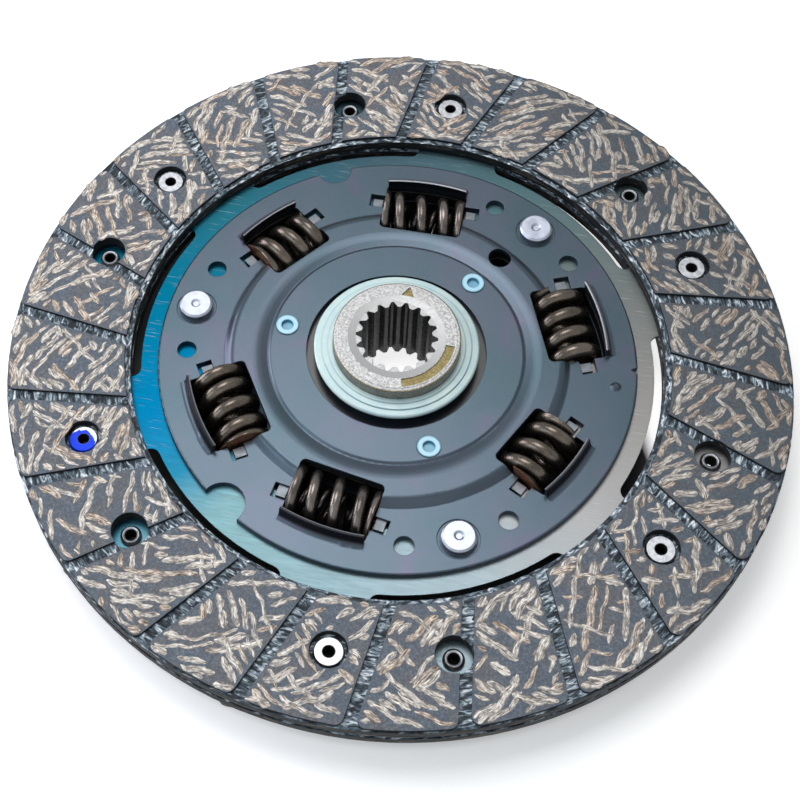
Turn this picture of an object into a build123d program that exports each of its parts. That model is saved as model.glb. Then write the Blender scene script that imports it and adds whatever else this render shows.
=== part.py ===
from build123d import *
import math
import os

os.makedirs("parts", exist_ok=True)

# Dry clutch disc with a torsion damper, about 200 mm across.
# Millimetres.  The origin is on the axis at the hub's rear end face, +Z points to the
# flywheel side, and one of the three stop pins lies on +Y.

# ---------------------------------------------------------------- driving dimensions

# Friction facings: moulded rings with raised pads between slanted grooves.
FACING_OUTER_DIA = 200.0
FACING_INNER_DIA = 137.0
FACING_THICKNESS = 3.5
PAD_COUNT = 24
PAD_HEIGHT = 0.9
PAD_INNER_LEDGE = 1.4
PAD_OUTER_LEDGE = 0.4
PAD_INNER_CORNER = 3.0
PAD_OUTER_CORNER = 2.0
GROOVE_WIDTH = 2.9
GROOVE_SLANT_DEG = 14.0
GROOVE_PHASE_DEG = 9.9

# Carrier disc: thin spring steel, a plain centre and six wide paddles in two levels.
CARRIER_THICKNESS = 0.7
CARRIER_WAVE = 0.7
CARRIER_PIN_MARGIN = 5.1
PADDLE_COUNT = 6
PADDLE_CENTRE_DEG = 3.2
PADDLE_GAP_DEG = 2.0
PADDLE_FOLD_OFFSET = 14.3
PADDLE_FOLD_LENGTH = 3.0
PADDLE_EDGE_MARGIN = 3.0
NECK_CENTRE_DEG = -0.7
NECK_WIDTH_DEG = 18.5
SLOT_INNER_RADIUS = 66.0
SLOT_WIDTH = 6.0
SLOT_CORNER = 2.4
NECK_OVERLAP = 0.6

# Facing rivets: semi-tubular, heads sunk in the facing, tails rolled on the carrier.
RIVET_PITCH_RADIUS = 82.6
RIVET_COUNT = 6
FRONT_RIVET_DEG = 3.18
REAR_RIVET_DEG = 23.18
RIVET_HEAD_DIA = 7.5
RIVET_HEAD_HEIGHT = 1.1
RIVET_SHANK_DIA = 4.0
RIVET_HOLE_DIA = 2.6
RIVET_TAIL_DIA = 5.2
RIVET_TAIL_HEIGHT = 1.4
RIVET_TAIL_ROLL = 0.4
RIVET_SEAT_WEB = 1.2
FACING_HOLE_DIA = 9.0

# Cover plates: two pressings, one on each side of the hub flange.
COVER_OUTER_RADIUS = 61.6
COVER_THICKNESS = 1.8
COVER_HOLE_RADIUS = 23.1
COVER_PLATEAU_RADIUS = 32.4
COVER_PLATEAU_RISE = 1.35
COVER_GROOVE_WIDTH = 0.6
COVER_GROOVE_DEPTH = 0.5
COVER_BEAD_START_RADIUS = 36.0
COVER_BEAD_RISE = 1.68
COVER_RAMP_RUN = 1.9
COVER_RAMP_TO_SPRING = 0.7
COVER_BEAD_BEND_RADIUS = 9.0
COVER_RAMP_BEND_RADIUS = 2.2
COVER_CREASE_RADIUS = 0.5
COVER_EDGE_RADIUS = 0.5
COVER_WINDOW_CLEARANCE = 0.8
LIP_HEIGHT = 3.1
LIP_TIP_THICKNESS = 0.8
LIP_TIP_SLOPE = 0.2
LIP_LEAN = 0.8
LIP_WALL_RUN = 1.4
LIP_FOOT_WIDTH = 2.5
LIP_FOOT_RADIUS = 1.8
LIP_CLEARANCE = 0.7
SPY_HOLE_DIA = 5.0
SPY_HOLE_OFFSET_DEG = 14.0
TOOLING_HOLE_DIA = 6.0
TOOLING_HOLE_RADIUS = 40.0
TOOLING_HOLE_DEG = 90.5
RIM_NOTCH_BIG_RADIUS = 5.6
RIM_NOTCH_BIG_DEPTH = 6.4
RIM_NOTCH_BIG_DEG = 270.0
RIM_NOTCH_SMALL_RADIUS = 4.6
RIM_NOTCH_SMALL_DEPTH = 4.4
RIM_NOTCH_SMALL_DEG = 150.0
RIM_NICK_DEPTH = 1.8
RIM_NICK_WIDTH = 2.2
RIM_NICK_DEG = 40.0
DIMPLE_DIA = 2.8
DIMPLE_HEIGHT = 0.6
DIMPLE_RIM_DISTANCE = 5.4
DIMPLE_DEG = 34.5

# Spring windows, the same in both cover plates, the carrier and the hub flange.
WINDOW_ANGLES_DEG = (5.6, 55.4, 124.6, 174.4, 245.8, 294.2)
SHORT_WINDOWS = (0, 3)
LIGHT_WINDOWS = (2, 5)
WINDOW_CORNER = 1.4
FLANGE_WINDOW_CORNER = 0.7
TAB_NOTCH_WIDTH = 4.0
TAB_NOTCH_HEIGHT = 4.0
TAB_NOTCH_OFFSET = 0.4
TAB_WIDTH = 2.6
TAB_HEIGHT = 3.0
TAB_END_GAP = 0.9
TAB_ROOT = 0.8
TAB_SINK = 0.8
TAB_THICKNESS = 0.9

# Damper springs, lying along the windows.  Each lies turned as it was dropped in: the
# turns from its clockwise end to its first crown are listed in the windows' order.
# The end turns lie closed and are ground flat, to a tip this share of the wire thick.
SPRING_RIM_DISTANCE = 13.0
SPRING_OUTER_DIA = 15.6
LONG_SPRING_LENGTH = 21.4
SHORT_SPRING_LENGTH = 17.8
HEAVY_WIRE_DIA = 3.7
HEAVY_ACTIVE_PITCH = 5.7
LIGHT_WIRE_DIA = 2.8
LIGHT_ACTIVE_PITCH = 6.0
INNER_SPRING_OUTER_DIA = 9.0
INNER_WIRE_DIA = 2.0
INNER_ACTIVE_PITCH = 4.2
CLOSED_TURN_PITCH = 1.02
GROUND_TIP = 0.25
FIRST_CROWN_TURNS = (1.04, 0.81, 0.50, 0.86, 0.51, 0.57)
SPRING_END_CLEARANCE = 0.25
SPRING_SIDE_CLEARANCE = 0.35

# Stop pins, riveted over on both sides, and the notches that they travel in.
STOP_PIN_COUNT = 3
STOP_PIN_DEG = 90.0
STOP_PIN_RIM_DISTANCE = 7.5
STOP_PIN_SHOULDER_DIA = 8.0
STOP_PIN_SHANK_DIA = 7.0
STOP_PIN_HEAD_DIA = 8.6
STOP_PIN_HEAD_HEIGHT = 2.1
STOP_PIN_REAR_HEAD_HEIGHT = 1.4
STOP_PIN_EDGE = 0.5
STOP_PIN_DIMPLE_DIA = 2.6
STOP_PIN_DIMPLE_DEPTH = 0.5
PIN_RING_OUTER_DIA = 10.4
PIN_RING_WIDTH = 0.6
PIN_RING_DEPTH = 0.3
DAMPER_TRAVEL_DEG = 6.0
TRAVEL_CLEARANCE_DEG = 0.4

# Hub flange and hub.
FLANGE_OUTER_RADIUS = 58.0
FLANGE_THICKNESS = 3.0
FLANGE_TOOTH_COUNT = 12
FLANGE_TOOTH_TIP_RADIUS = 20.4
FLANGE_TOOTH_ROOT_RADIUS = 18.6
FLANGE_TOOTH_TIP_WIDTH = 3.6
FLANGE_TOOTH_ROOT_WIDTH = 5.0
HUB_LENGTH = 22.8
HUB_OUTER_RADIUS = 16.24
HUB_EDGE_CHAMFER = 0.4
HUB_RIM_RADIUS = 15.3
HUB_RIM_DROP = 0.15
SPLINE_TOOTH_COUNT = 18
SPLINE_MAJOR_RADIUS = 10.45
SPLINE_MINOR_RADIUS = 9.05
SPLINE_ROOT_WIDTH = 0.7
SPLINE_MOUTH_WIDTH = 2.15
BORE_LAND_RADIUS = 12.3
BORE_LAND_DROP = 0.35
HUB_MARK_DEPTH = 0.35
HUB_MARK_INNER_RADIUS = 12.6
HUB_MARK_OUTER_RADIUS = 14.9
HUB_MARK_START_DEG = 318.5
HUB_MARK_SWEEP_DEG = 74.0
HUB_TRIANGLE_SIDE = 3.4
HUB_TRIANGLE_RADIUS = 13.4
HUB_TRIANGLE_DEG = 121.0

# Friction and centring pieces around the hub.
BUSH_COLLAR_RADIUS = 21.1
BUSH_COLLAR_STANDOFF = 2.9
BUSH_LIP_THICKNESS = 1.0
BUSH_NECK_RADIUS = 19.0
BUSH_FLANGE_RADIUS = 29.6
BUSH_FLANGE_THICKNESS = 1.8
BUSH_RIDGE_RADII = (17.6, 19.2)
BUSH_RIDGE_STEP = 0.35
PEG_COUNT = 3
PEG_DIA = 5.9
PEG_BOSS_DIA = 6.6
PEG_RADIUS = 29.1
PEG_STANDOFF = 0.3
PEG_RECESS_DIA = 3.0
PEG_RECESS_DEPTH = 1.0
FRONT_WASHER_OUTER_RADIUS = 28.8
FRONT_WASHER_INNER_RADIUS = 17.2
REAR_RING_RADIUS = 28.5
REAR_RING_THICKNESS = 1.2
REAR_COLLAR_RADIUS = 20.6
REAR_COLLAR_STANDOFF = 0.9
PRESSURE_WASHER_THICKNESS = 0.6
PRESSURE_WASHER_RADIUS = 30.6
PRESSURE_TAB_COUNT = 3
PRESSURE_TAB_WIDTH = 4.0
PRESSURE_TAB_RADIUS = 34.6
PRESSURE_SLOT_CLEARANCE = 0.4
DIAPHRAGM_THICKNESS = 0.5
DIAPHRAGM_OUTER_RADIUS = 31.0
DIAPHRAGM_SLOT_COUNT = 9
DIAPHRAGM_SLOT_WIDTH = 1.6
DIAPHRAGM_SLOT_LENGTH = 3.4

# Clearances between pieces.
RUNNING_CLEARANCE = 0.06
RIVETED_CLEARANCE = 0.05
SERRATION_CLEARANCE = 0.05
COLLAR_CLEARANCE = 0.8
FLANGE_TO_CARRIER = 0.35

# Height of the front facing's working surface above the hub's rear end.
FRONT_SURFACE_Z = 16.7

# ---------------------------------------------------------------- derived levels

front_facing_back = FRONT_SURFACE_Z - FACING_THICKNESS
front_level_bottom = front_facing_back - CARRIER_THICKNESS
rear_level_bottom = front_level_bottom - CARRIER_WAVE
rear_level_top = rear_level_bottom + CARRIER_THICKNESS
rear_facing_front = rear_level_bottom
rear_facing_back = rear_facing_front - FACING_THICKNESS

carrier_top = front_facing_back - CARRIER_WAVE / 2
carrier_bottom = carrier_top - CARRIER_THICKNESS

flange_top = carrier_bottom - FLANGE_TO_CARRIER
flange_bottom = flange_top - FLANGE_THICKNESS
damper_mid = (flange_top + flange_bottom) / 2

cover_seat = carrier_top
cover_flat = cover_seat + COVER_THICKNESS
cover_plateau = cover_flat + COVER_PLATEAU_RISE
cover_plateau_inside = cover_plateau - COVER_THICKNESS
cover_crest = cover_flat + COVER_BEAD_RISE
rear_cover_seat = 2 * damper_mid - cover_seat
rear_cover_flat = 2 * damper_mid - cover_flat
rear_plateau_inside = 2 * damper_mid - cover_plateau_inside

bush_bore_radius = HUB_OUTER_RADIUS + RUNNING_CLEARANCE
front_washer_thickness = cover_plateau_inside - BUSH_FLANGE_THICKNESS - flange_top
rear_ring_bottom = flange_bottom - REAR_RING_THICKNESS
pressure_washer_bottom = rear_ring_bottom - PRESSURE_WASHER_THICKNESS

spring_radius = SPRING_OUTER_DIA / 2
spring_pitch_radius = FLANGE_OUTER_RADIUS - SPRING_RIM_DISTANCE
spring_lengths = [SHORT_SPRING_LENGTH if k in SHORT_WINDOWS else LONG_SPRING_LENGTH
                  for k in range(len(WINDOW_ANGLES_DEG))]
window_half_widths = [length / 2 + SPRING_END_CLEARANCE for length in spring_lengths]
window_inner = spring_pitch_radius - spring_radius - SPRING_SIDE_CLEARANCE
spring_far_side = spring_pitch_radius + spring_radius
window_outer = math.hypot(spring_far_side, LONG_SPRING_LENGTH / 2) + SPRING_SIDE_CLEARANCE
bulge_at_seat = math.sqrt(spring_radius ** 2 - (cover_seat - damper_mid) ** 2)
bulge_at_crest = math.sqrt(spring_radius ** 2 - (cover_crest - COVER_THICKNESS - damper_mid) ** 2)
spring_in_cover = math.hypot(spring_pitch_radius + bulge_at_seat, LONG_SPRING_LENGTH / 2)
cover_window_inner = spring_pitch_radius - bulge_at_crest - COVER_WINDOW_CLEARANCE
lip_inner_foot = spring_in_cover + LIP_CLEARANCE
tab_notch_inner = spring_pitch_radius + TAB_NOTCH_OFFSET
cover_ramp_foot = spring_pitch_radius - COVER_RAMP_TO_SPRING
cover_bead_end = cover_ramp_foot - COVER_RAMP_RUN
bead_width = cover_bead_end - COVER_BEAD_START_RADIUS
bead_bend = min(COVER_BEAD_BEND_RADIUS, 1.5 * bead_width)
ramp_bend = min(COVER_RAMP_BEND_RADIUS, bead_width)

facing_outer_radius = FACING_OUTER_DIA / 2
facing_inner_radius = FACING_INNER_DIA / 2
paddle_outer_radius = facing_outer_radius - PADDLE_EDGE_MARGIN
paddle_inner_radius = SLOT_INNER_RADIUS + SLOT_WIDTH
stop_pin_pitch_radius = COVER_OUTER_RADIUS - STOP_PIN_RIM_DISTANCE
carrier_inner_radius = stop_pin_pitch_radius - CARRIER_PIN_MARGIN
stop_pin_angles = [STOP_PIN_DEG + k * 360 / STOP_PIN_COUNT for k in range(STOP_PIN_COUNT)]


# ---------------------------------------------------------------- helpers

def at_angle(shape, degrees):
    """The shape turned about the disc's axis."""
    return Rot(0, 0, degrees) * shape


def round_pattern(shape, count, start=0.0):
    """Copies of the shape evenly round the axis, as a list."""
    return [at_angle(shape, start + k * 360 / count) for k in range(count)]


def ring(inner, outer, bottom, top):
    """A plain ring or washer between two levels."""
    body = extrude(Circle(outer) - Circle(inner), top - bottom)
    return Pos(0, 0, bottom) * body


def post(radius, bottom, top, at_radius=0.0, degrees=0.0):
    """A round bar standing at a pitch radius and an angle."""
    body = extrude(Circle(radius), top - bottom)
    return at_angle(Pos(at_radius, 0, bottom) * body, degrees)


def turned(points):
    """A solid of revolution about Z from (radius, height) points."""
    outline = Polyline(*[(r, 0, z) for r, z in points], close=True)
    return revolve(make_face(outline), Axis.Z, 360)


def sector(inner, outer, start, sweep):
    """A flat ring sector in the XY plane."""
    reach = outer * 2
    wedge = [(0, 0)]
    steps = max(2, math.ceil(sweep / 60) + 1)
    for k in range(steps):
        angle = math.radians(start + sweep * k / (steps - 1))
        wedge.append((reach * math.cos(angle), reach * math.sin(angle)))
    return (Circle(outer) - Circle(inner)) & make_face(Polyline(*wedge, close=True))


def window_outline(half_width, inner, outer, corner):
    """Spring window on +X: straight sides and inner edge, and an arc outside."""
    reach = outer + SPRING_OUTER_DIA
    block = Pos((inner + reach) / 2, 0) * Rectangle(reach - inner, 2 * half_width)
    outline = block & Circle(outer)
    return fillet(outline.vertices(), corner)


def rounded_section(corners):
    """Flat section, standing on the XZ plane, from (radius, height, corner radius) points."""
    section = make_face(Polyline(*[(r, z) for r, z, _ in corners], close=True))
    for size in sorted({bend for _, _, bend in corners if bend}):
        spots = [(r, z) for r, z, bend in corners if bend == size]
        chosen = [v for v in section.vertices()
                  if any(math.dist((v.X, v.Y), spot) < RUNNING_CLEARANCE / 2 for spot in spots)]
        section = fillet(chosen, size)
    return Plane.XZ * section


# ---------------------------------------------------------------- facings and carrier

def facing_pad():
    """One raised pad, between two slanted grooves."""
    inner = facing_inner_radius + PAD_INNER_LEDGE
    outer = facing_outer_radius - PAD_OUTER_LEDGE
    middle = (facing_inner_radius + facing_outer_radius) / 2
    pitch = 360 / PAD_COUNT
    outline = sector(inner, outer, GROOVE_PHASE_DEG - 1.4 * pitch, 1.8 * pitch)
    for angle in (GROOVE_PHASE_DEG - pitch, GROOVE_PHASE_DEG):
        groove = Rectangle(2 * facing_outer_radius, GROOVE_WIDTH)
        slanted = Pos(middle, 0) * Rot(0, 0, -GROOVE_SLANT_DEG) * groove
        outline -= at_angle(slanted, angle)
    outline = outline.faces().sort_by(SortBy.AREA)[-1]
    radial = [(math.hypot(v.X, v.Y), v) for v in outline.vertices()]
    outline = fillet([v for r, v in radial if r < middle], PAD_INNER_CORNER)
    corners = [v for v in outline.vertices() if math.hypot(v.X, v.Y) > outer - GROOVE_WIDTH]
    outline = fillet(corners, PAD_OUTER_CORNER)
    return extrude(outline, PAD_HEIGHT)


def front_facing():
    """The flywheel-side facing, pads up, with sunk rivet seats and clearance holes."""
    base_top = FRONT_SURFACE_Z - PAD_HEIGHT
    body = ring(facing_inner_radius, facing_outer_radius, front_facing_back, base_top)
    pads = round_pattern(Pos(0, 0, base_top) * facing_pad(), PAD_COUNT)
    body = body + pads
    seat = front_facing_back + RIVET_SEAT_WEB
    above = FRONT_SURFACE_Z + PAD_HEIGHT
    below = front_facing_back - PAD_HEIGHT
    shank_hole = RIVET_SHANK_DIA / 2 + RIVETED_CLEARANCE
    cuts = round_pattern(
        post(FACING_HOLE_DIA / 2, seat, above, RIVET_PITCH_RADIUS, FRONT_RIVET_DEG), RIVET_COUNT)
    cuts += round_pattern(
        post(shank_hole, below, above, RIVET_PITCH_RADIUS, FRONT_RIVET_DEG), RIVET_COUNT)
    cuts += round_pattern(
        post(FACING_HOLE_DIA / 2, below, above, RIVET_PITCH_RADIUS, REAR_RIVET_DEG), RIVET_COUNT)
    return body - cuts


def rear_facing():
    """The pressure-plate-side facing: the same moulding turned over between its rivets."""
    turning_line = (FRONT_RIVET_DEG + REAR_RIVET_DEG) / 2
    turned_over = Rot(180, 0, 0) * at_angle(front_facing(), -turning_line)
    shift = front_facing_back + rear_facing_front
    return Pos(0, 0, shift) * at_angle(turned_over, turning_line)


def carrier_paddle():
    """One paddle on +X: a raised middle between two arms one wave lower."""
    reach = paddle_outer_radius
    fold = PADDLE_FOLD_OFFSET
    ramp = PADDLE_FOLD_LENGTH / 2
    high = front_facing_back
    low = rear_level_top
    top = [(-reach, low), (-fold - ramp, low), (-fold + ramp, high),
           (fold - ramp, high), (fold + ramp, low), (reach, low)]
    bottom = [(y, z - CARRIER_THICKNESS) for y, z in reversed(top)]
    wave = make_face(Polyline(*[(0, y, z) for y, z in top + bottom], close=True))
    sheet = extrude(wave, paddle_outer_radius + PADDLE_EDGE_MARGIN, dir=(1, 0, 0))
    half = 180 / PADDLE_COUNT - PADDLE_GAP_DEG / 2
    outline = sector(paddle_inner_radius, paddle_outer_radius, -half, 2 * half)
    outline = fillet(outline.vertices(), SLOT_CORNER)
    blank = Pos(0, 0, rear_level_bottom - CARRIER_WAVE) * extrude(outline, 4 * CARRIER_WAVE)
    return sheet & blank


def carrier_disc():
    """Carrier: centre ring, six necks and six waved paddles, with spring pockets."""
    neck_start = NECK_CENTRE_DEG - NECK_WIDTH_DEG / 2
    slot = sector(SLOT_INNER_RADIUS, paddle_inner_radius + SLOT_WIDTH,
                  neck_start + NECK_WIDTH_DEG, 360 / PADDLE_COUNT - NECK_WIDTH_DEG)
    slot = fillet(slot.vertices(), SLOT_CORNER)
    plan = Circle(paddle_inner_radius + NECK_OVERLAP) - Circle(carrier_inner_radius)
    plan = plan - round_pattern(slot, PADDLE_COUNT)
    gap = SPRING_SIDE_CLEARANCE
    for angle, half_width in zip(WINDOW_ANGLES_DEG, window_half_widths):
        pocket = window_outline(half_width + gap, window_inner, window_outer + gap, WINDOW_CORNER)
        plan -= at_angle(pocket, angle)
    body = Pos(0, 0, carrier_bottom) * extrude(plan, CARRIER_THICKNESS)
    body += round_pattern(carrier_paddle(), PADDLE_COUNT, PADDLE_CENTRE_DEG)
    below = carrier_bottom - 2 * CARRIER_WAVE
    above = carrier_top + 2 * CARRIER_WAVE
    shank_hole = RIVET_SHANK_DIA / 2 + RIVETED_CLEARANCE
    cuts = round_pattern(
        post(shank_hole, below, above, RIVET_PITCH_RADIUS, FRONT_RIVET_DEG), RIVET_COUNT)
    cuts += round_pattern(
        post(shank_hole, below, above, RIVET_PITCH_RADIUS, REAR_RIVET_DEG), RIVET_COUNT)
    pin_hole = STOP_PIN_SHANK_DIA / 2 + RIVETED_CLEARANCE
    cuts += [post(pin_hole, below, above, stop_pin_pitch_radius, a) for a in stop_pin_angles]
    return body - cuts


def facing_rivet():
    """Rivet with its head down on z = 0 and its tail rolled over above the carrier."""
    shank = RIVET_SHANK_DIA / 2
    hole = RIVET_HOLE_DIA / 2
    head = RIVET_HEAD_DIA / 2
    tail = RIVET_TAIL_DIA / 2
    grip = RIVET_SEAT_WEB + CARRIER_THICKNESS
    roll = RIVET_TAIL_HEIGHT
    edge = RIVET_HEAD_HEIGHT / 3
    return turned([
        (hole, -RIVET_HEAD_HEIGHT), (head - edge, -RIVET_HEAD_HEIGHT), (head, -edge), (head, 0),
        (shank, 0), (shank, grip), (tail, grip), (tail, grip + roll * 0.5),
        (tail - RIVET_TAIL_ROLL, grip + roll * 0.85), ((tail + hole) / 2, grip + roll),
        (hole, grip + roll * 0.7)])


def front_facing_rivets():
    """Rivets of the front facing, heads towards the flywheel."""
    rivet = Pos(0, 0, front_facing_back + RIVET_SEAT_WEB) * Rot(180, 0, 0) * facing_rivet()
    return Compound(round_pattern(
        Pos(RIVET_PITCH_RADIUS, 0, 0) * rivet, RIVET_COUNT, FRONT_RIVET_DEG))


def rear_facing_rivets():
    """Rivets of the rear facing, tails showing through the front facing's holes."""
    rivet = Pos(0, 0, rear_facing_front - RIVET_SEAT_WEB) * facing_rivet()
    return Compound(round_pattern(
        Pos(RIVET_PITCH_RADIUS, 0, 0) * rivet, RIVET_COUNT, REAR_RIVET_DEG))


# ---------------------------------------------------------------- cover plates

def cover_lip(half_width):
    """Arc flange bent up along the outer edge of a spring window on +X."""
    tip = cover_flat + LIP_HEIGHT
    inner_tip = lip_inner_foot - LIP_LEAN
    wall_foot = inner_tip + LIP_WALL_RUN
    outer_foot = wall_foot + LIP_FOOT_WIDTH
    section = rounded_section([
        (lip_inner_foot, cover_seat, 0), (inner_tip, tip - LIP_TIP_SLOPE, 0),
        (inner_tip + LIP_TIP_THICKNESS, tip, 0), (wall_foot, cover_flat, LIP_FOOT_RADIUS),
        (outer_foot, cover_flat, 0), (outer_foot, cover_seat, 0)])
    half = math.degrees(half_width / window_outer)
    return at_angle(revolve(section, Axis.Z, 2 * half), -half)


def window_tab(half_width, side):
    """Small lug bent down into the notch beside a window, at one end of the spring."""
    outer_end = half_width + TAB_NOTCH_WIDTH - TAB_END_GAP
    middle = tab_notch_inner + (TAB_HEIGHT - TAB_ROOT) / 2
    body = Box(TAB_HEIGHT + TAB_ROOT, TAB_WIDTH, TAB_THICKNESS)
    height = cover_flat - TAB_SINK - TAB_THICKNESS / 2
    return Pos(middle, side * (outer_end - TAB_WIDTH / 2), height) * body


def cover_section():
    """Section of the pressing: plateau, groove, raised bead, ramp and outer flat."""
    groove_radius = COVER_PLATEAU_RADIUS + COVER_GROOVE_WIDTH
    groove = cover_plateau - COVER_GROOVE_DEPTH
    top = [(COVER_HOLE_RADIUS, cover_plateau, 0),
           (COVER_PLATEAU_RADIUS, cover_plateau, COVER_CREASE_RADIUS),
           (groove_radius, groove, COVER_CREASE_RADIUS),
           (COVER_BEAD_START_RADIUS, cover_crest, bead_bend),
           (cover_bead_end, cover_crest, ramp_bend),
           (cover_ramp_foot, cover_flat, COVER_CREASE_RADIUS)]
    bottom = [(r, z - COVER_THICKNESS, bend) for r, z, bend in reversed(top)]
    rim = [(COVER_OUTER_RADIUS, cover_flat, COVER_EDGE_RADIUS), (COVER_OUTER_RADIUS, cover_seat, 0)]
    return rounded_section(top + rim + bottom)


def cover_pressing():
    """The pressing that both cover plates share, in the front plate's place."""
    plate = revolve(cover_section(), Axis.Z, 360)
    depth = cover_crest - cover_seat + 2 * COVER_THICKNESS
    below = cover_seat - COVER_THICKNESS
    notch_middle = tab_notch_inner + TAB_NOTCH_HEIGHT / 2
    for angle, half_width in zip(WINDOW_ANGLES_DEG, window_half_widths):
        cut = window_outline(half_width, cover_window_inner, lip_inner_foot, WINDOW_CORNER)
        notch = Rectangle(TAB_NOTCH_HEIGHT, 2 * (half_width + TAB_NOTCH_WIDTH))
        cut = cut + Pos(notch_middle, 0) * notch
        plate -= at_angle(Pos(0, 0, below) * extrude(cut, depth), angle)
    for angle, half_width in zip(WINDOW_ANGLES_DEG, window_half_widths):
        details = [cover_lip(half_width), window_tab(half_width, 1), window_tab(half_width, -1)]
        plate += [at_angle(detail, angle) for detail in details]
    top_level = below + depth
    pin_hole = STOP_PIN_SHANK_DIA / 2 + RIVETED_CLEARANCE
    ring_outer = PIN_RING_OUTER_DIA / 2
    holes = []
    for angle in stop_pin_angles:
        holes.append(post(pin_hole, below, top_level, stop_pin_pitch_radius, angle))
        groove = ring(ring_outer - PIN_RING_WIDTH, ring_outer, cover_flat - PIN_RING_DEPTH, top_level)
        holes.append(at_angle(Pos(stop_pin_pitch_radius, 0, 0) * groove, angle))
        for side in (-1, 1):
            holes.append(post(SPY_HOLE_DIA / 2, below, top_level, stop_pin_pitch_radius,
                              angle + side * SPY_HOLE_OFFSET_DEG))
    return plate - holes


def tooling_hole():
    """Round bar that cuts the tooling hole through covers and flange."""
    return post(TOOLING_HOLE_DIA / 2, 0, HUB_LENGTH, TOOLING_HOLE_RADIUS, TOOLING_HOLE_DEG)


def front_cover_plate():
    """Flywheel-side cover with rim notches, a locating dimple and the bush's peg holes."""
    plate = cover_pressing() - tooling_hole()
    below = cover_seat - COVER_THICKNESS
    above = cover_crest + COVER_THICKNESS
    notches = (
        (RIM_NOTCH_BIG_RADIUS, RIM_NOTCH_BIG_DEPTH, RIM_NOTCH_BIG_DEG),
        (RIM_NOTCH_SMALL_RADIUS, RIM_NOTCH_SMALL_DEPTH, RIM_NOTCH_SMALL_DEG))
    cuts = []
    for radius, deep, angle in notches:
        centre = COVER_OUTER_RADIUS - deep + radius
        cuts.append(post(radius, below, above, centre, angle))
    nick = make_face(Polyline(
        (COVER_OUTER_RADIUS - RIM_NICK_DEPTH, 0),
        (COVER_OUTER_RADIUS + RIM_NICK_DEPTH, -RIM_NICK_WIDTH),
        (COVER_OUTER_RADIUS + RIM_NICK_DEPTH, RIM_NICK_WIDTH), close=True))
    cuts.append(at_angle(Pos(0, 0, below) * extrude(nick, above - below), RIM_NICK_DEG))
    cuts += round_pattern(
        post(PEG_DIA / 2 + RIVETED_CLEARANCE, below, above, PEG_RADIUS, STOP_PIN_DEG), PEG_COUNT)
    dimple = Pos(0, 0, cover_flat) * Cone(
        DIMPLE_DIA / 2, DIMPLE_DIA / 4, DIMPLE_HEIGHT,
        align=(Align.CENTER, Align.CENTER, Align.MIN))
    return plate - cuts + at_angle(
        Pos(COVER_OUTER_RADIUS - DIMPLE_RIM_DISTANCE, 0, 0) * dimple, DIMPLE_DEG)


def rear_cover_plate():
    """Gearbox-side cover: the same pressing turned over, slotted for the washer's tabs."""
    flipped = Pos(0, 0, 2 * damper_mid) * mirror(cover_pressing(), Plane.XY)
    slot_start = DIAPHRAGM_OUTER_RADIUS + PRESSURE_SLOT_CLEARANCE
    slot_length = PRESSURE_TAB_RADIUS + PRESSURE_SLOT_CLEARANCE - slot_start
    slot = extrude(Rectangle(slot_length, PRESSURE_TAB_WIDTH + PRESSURE_SLOT_CLEARANCE),
                   damper_mid)
    slot = Pos(slot_start + slot_length / 2, 0, 0) * slot
    slots = round_pattern(slot, PRESSURE_TAB_COUNT, STOP_PIN_DEG)
    return flipped - slots - tooling_hole()


def stop_pin():
    """Shouldered pin on the axis, with a broad front head and a smaller rear head."""
    shank = STOP_PIN_SHANK_DIA / 2
    shoulder = STOP_PIN_SHOULDER_DIA / 2
    head = STOP_PIN_HEAD_DIA / 2
    front = cover_flat + STOP_PIN_HEAD_HEIGHT
    rear = rear_cover_flat - STOP_PIN_REAR_HEAD_HEIGHT
    edge = STOP_PIN_EDGE
    dimple = STOP_PIN_DIMPLE_DIA / 2
    return turned([
        (0, rear), (head - edge, rear), (head, rear + edge), (head, rear_cover_flat),
        (shank, rear_cover_flat), (shank, rear_cover_seat), (shoulder, rear_cover_seat),
        (shoulder, carrier_bottom), (shank, carrier_bottom), (shank, cover_flat),
        (head, cover_flat), (head, front - edge), (head - edge, front), (dimple, front),
        (dimple * 0.6, front - STOP_PIN_DIMPLE_DEPTH), (0, front - STOP_PIN_DIMPLE_DEPTH)])


# ---------------------------------------------------------------- hub and flange

def toothed_outline(margin=0.0):
    """Outline of the hub's toothed collar, grown all round by the margin."""
    root = FLANGE_TOOTH_ROOT_RADIUS + margin
    tip = FLANGE_TOOTH_TIP_RADIUS + margin
    root_half = FLANGE_TOOTH_ROOT_WIDTH / 2 + margin
    tip_half = FLANGE_TOOTH_TIP_WIDTH / 2 + margin
    inside = root - (tip - root)
    inside_half = root_half + (root_half - tip_half)
    tooth = make_face(Polyline(
        (inside, -inside_half), (tip, -tip_half), (tip, tip_half), (inside, inside_half),
        close=True))
    return Circle(root) + round_pattern(tooth, FLANGE_TOOTH_COUNT)


def spline_groove():
    """One groove of the bore's spline, along +X."""
    inside = SPLINE_MINOR_RADIUS - 1
    slope = (SPLINE_MOUTH_WIDTH - SPLINE_ROOT_WIDTH) / (SPLINE_MAJOR_RADIUS - SPLINE_MINOR_RADIUS)
    inside_half = (SPLINE_MOUTH_WIDTH + slope) / 2
    return make_face(Polyline(
        (inside, -inside_half), (SPLINE_MAJOR_RADIUS, -SPLINE_ROOT_WIDTH / 2),
        (SPLINE_MAJOR_RADIUS, SPLINE_ROOT_WIDTH / 2), (inside, inside_half), close=True))


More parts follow.
